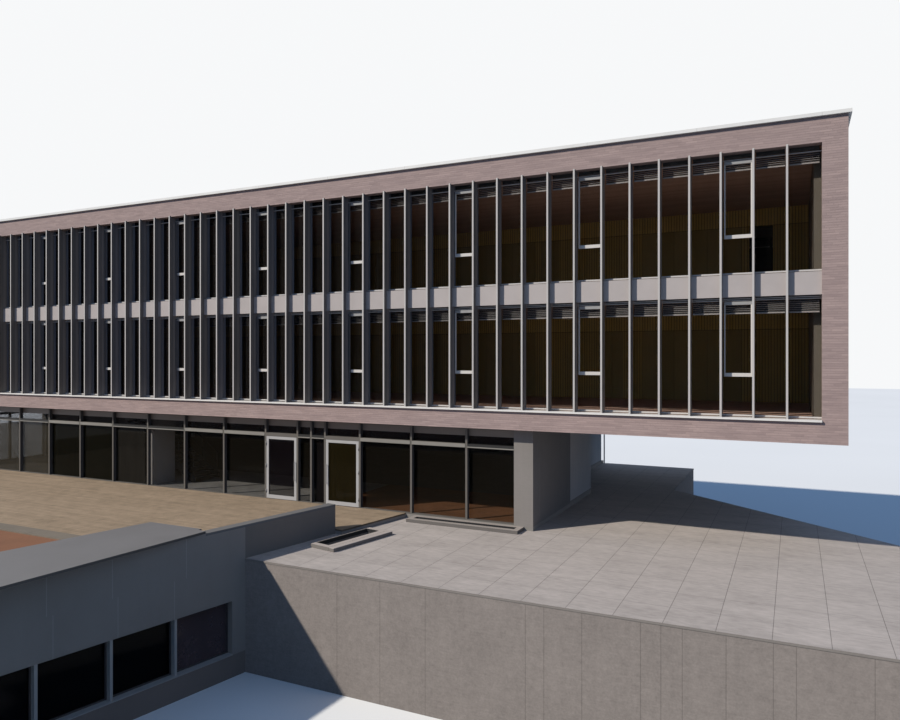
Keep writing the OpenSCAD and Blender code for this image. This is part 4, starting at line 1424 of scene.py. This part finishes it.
@dataclass
class DoorFurniture:
    """Lock plates with their cylinders on both faces of each hall door."""

    finish: bpy.types.Material
    plate_w: float = 0.034
    plate_h: float = 0.17
    plate_t: float = 0.004
    arris: float = 0.0015
    middle_z: float = 3.98
    core_drop: float = 0.04
    cylinder_r: float = 0.009
    cylinder_out: float = 0.009
    faces: tuple[tuple[float, int], ...] = ((0.434, -1), (0.494, 1))
    doors: tuple[tuple[str, str, float], ...] = (
        ("left", LEFT_LEAF, 1.193), ("right", RIGHT_LEAF, 2.657))

    def build(self) -> None:
        """Fits the plates beside each leaf's handle."""
        for name, body, x in self.doors:
            parts = []
            for y, way in self.faces:
                parts.extend(self.plate(x, y, way))
            dress(Bench.merge(f"{name}_door_lock", parts), self.finish, body)

    def plate(self, x: float, y: float, way: int) -> list[bpy.types.Object]:
        """Makes one plate with its cylinder.

        Args:
            x: Place along the leaf.
            y: Depth of the leaf's face.
            way: -1 outside, 1 inside.

        Returns:
            The plate and the cylinder.
        """
        near, far = sorted((y, y + way * self.plate_t))
        half_w = self.plate_w / 2
        half_h = self.plate_h / 2
        plate = Bench.block("plate", (x - half_w, near, self.middle_z - half_h),
                            (x + half_w, far, self.middle_z + half_h))
        Bench.bevel(plate, self.arris)
        core_z = self.middle_z - self.core_drop
        core = Bench.rod("core", (x, y, core_z), (x, y + way * self.cylinder_out, core_z),
                         self.cylinder_r, 12)
        return [plate, core]


@dataclass
class CoveredWayPost:
    """The slim pale post between the terrace and the block's underside, behind the hall."""

    finish: bpy.types.Material
    x: float = 8.80
    y: float = 15.27
    foot_z: float = 3.0
    head_z: float = 6.1
    radius: float = 0.032
    plate: float = 0.075
    plate_t: float = 0.012
    arris: float = 0.004

    def build(self) -> None:
        """Stands the post between its two plates."""
        parts = [Bench.rod("post", (self.x, self.y, self.foot_z), (self.x, self.y, self.head_z),
                           self.radius, 20)]
        for low in (self.foot_z, self.head_z - self.plate_t):
            foot = Bench.block("foot", (self.x - self.plate, self.y - self.plate, low),
                               (self.x + self.plate, self.y + self.plate, low + self.plate_t))
            Bench.bevel(foot, self.arris, 1, Edge.ALONG_Z)
            parts.append(foot)
        dress(Bench.merge("covered_way_post", parts), self.finish)


@dataclass
class WellLedge:
    """The broad outer ledge of the slanting light well's kerb."""

    finish: bpy.types.Material
    out: Span = (1.271, 1.47)
    run: Span = (1.78, 4.2)
    height: Span = (3.0, 3.107)
    arris: float = 0.008

    def build(self) -> None:
        """Lays the ledge beside the kerb, and turns it with the wing's wall."""
        lows, highs = zip(self.out, self.run, self.height)
        ledge = Bench.block("well_kerb_ledge", lows, highs)
        Bench.bevel(ledge, self.arris)
        ledge.location = (*WING_CORNER, 0.0)
        ledge.rotation_euler = (0.0, 0.0, -WING_TURN)
        Bench.settle()
        dress(ledge, self.finish)


@dataclass
class Studio:
    """The floor, the light and the photograph's camera."""

    floor_size: float = 400.0
    floor_z: float = -0.002
    floor_seen: Colour = (0.84, 0.84, 0.84)
    floor_lit: Colour = (0.11, 0.14, 0.16)
    fill: Colour = (0.32, 0.56, 1.0)
    fill_strength: float = 0.38
    backdrop: Colour = (0.93, 0.94, 0.95)
    sun_way: Point = (0.531, 0.605, -0.593)
    sun_strength: float = 4.0
    sun_colour: Colour = (1.0, 0.94, 0.83)
    sun_width: float = 1.2
    eye: Point = (17.39, -20.43, 8.3)
    heading: float = 25.62
    sensor_w: float = 36.0
    focal: float = 28.8
    shift_y: float = -0.003
    far: float = 1000.0

    def build(self) -> None:
        """Sets up the stage."""
        self.lay_floor()
        self.light_world()
        self.hang_sun()
        self.place_camera()

    def lay_floor(self) -> None:
        """Lays the pale floor at the foot of the walls, which throws little light back on them."""
        Bench.clear()
        bpy.ops.mesh.primitive_plane_add(size=self.floor_size, location=(0, 0, self.floor_z))
        floor = bpy.context.object
        floor.name = "stage_floor"
        graph = Graph("stage_floor")
        clouds = graph.cloud(0.05, 2.0)
        graph.finish(graph.scaled(self.floor_seen, 0.96 + clouds * 0.08), 0.9, specular=0.0)
        matt = graph.wire("ShaderNodeBsdfDiffuse", {"Color": graph.opaque(self.floor_lit)})
        output = graph.tree.nodes["Material Output"]
        self.show(graph, matt, Wire(graph, graph.shader.outputs[0]), output)
        floor.data.materials.append(graph.material)

    @staticmethod
    def show(graph: Graph, lit: Wire, seen: Wire, output: bpy.types.Node) -> None:
        """Shows one shader to the camera, by itself, mirrored or through glass, and lights with another.

        Args:
            graph: The graph.
            lit: The shader that lights the scene.
            seen: The shader that the camera sees.
            output: The graph's output node.
        """
        path = graph.node("ShaderNodeLightPath", {})
        rays = [Wire(graph, path.outputs[f"Is {kind} Ray"]) for kind in ("Camera", "Glossy", "Transmission")]
        shown = rays[0].either(rays[1]).either(rays[2])
        graph.feed(output, {"Surface": graph.wire("ShaderNodeMixShader", {0: shown, 1: lit, 2: seen})})

    def light_world(self) -> None:
        """Fills the shade, and shows a pale backdrop to the camera, metal and glass."""
        world = bpy.data.worlds.new("studio")
        bpy.context.scene.world = world
        world.use_nodes = True
        graph = Graph.of_world(world)
        fill = {"Color": graph.opaque(self.fill), "Strength": self.fill_strength}
        backdrop = {"Color": graph.opaque(self.backdrop), "Strength": 1.0}
        output = graph.node("ShaderNodeOutputWorld", {})
        self.show(graph, graph.wire("ShaderNodeBackground", fill),
                  graph.wire("ShaderNodeBackground", backdrop), output)

    def hang_sun(self) -> None:
        """Hangs one soft sun where the photograph's shadows come from."""
        light = bpy.data.lights.new("sun", "SUN")
        light.energy = self.sun_strength
        light.angle = math.radians(self.sun_width)
        light.color = self.sun_colour
        sun = bpy.data.objects.new("sun", light)
        bpy.context.scene.collection.objects.link(sun)
        sun.rotation_euler = Vector(self.sun_way).to_track_quat("-Z", "Y").to_euler()

    def place_camera(self) -> None:
        """Sets the camera where the photograph was taken."""
        lens = bpy.data.cameras.new("camera")
        lens.sensor_fit = "HORIZONTAL"
        lens.sensor_width = self.sensor_w
        lens.lens = self.focal
        lens.shift_y = self.shift_y
        lens.clip_end = self.far
        camera = bpy.data.objects.new("camera", lens)
        bpy.context.scene.collection.objects.link(camera)
        camera.location = self.eye
        camera.rotation_euler = (math.radians(90), 0.0, math.radians(self.heading))
        bpy.context.scene.camera = camera


def main() -> None:
    """Builds the scene in order."""
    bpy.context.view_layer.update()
    shell = Shell()
    shell.mix_finishes()
    shell.dress_nodes()
    frames = shell.finishes["frame_metal"]
    RaisedBlinds(shell.finishes["blind_slats"], shell.finishes["blind_bars"]).build()
    GableLinings(shell.finishes["plaster"]).build()
    HallTransoms(shell.finishes["cap_metal"]).build()
    StairRails(shell.finishes["stair_metal"]).build()
    DoorFurniture(frames).build()
    CoveredWayPost(frames).build()
    WellLedge(shell.finishes["well_kerbs"]).build()
    Studio().build()
    bpy.context.scene.view_settings.view_transform = "Standard"
    log.info("building is dressed")


if __name__ == "__main__":
    logging.basicConfig(level=logging.INFO, format="%(message)s")
    main()
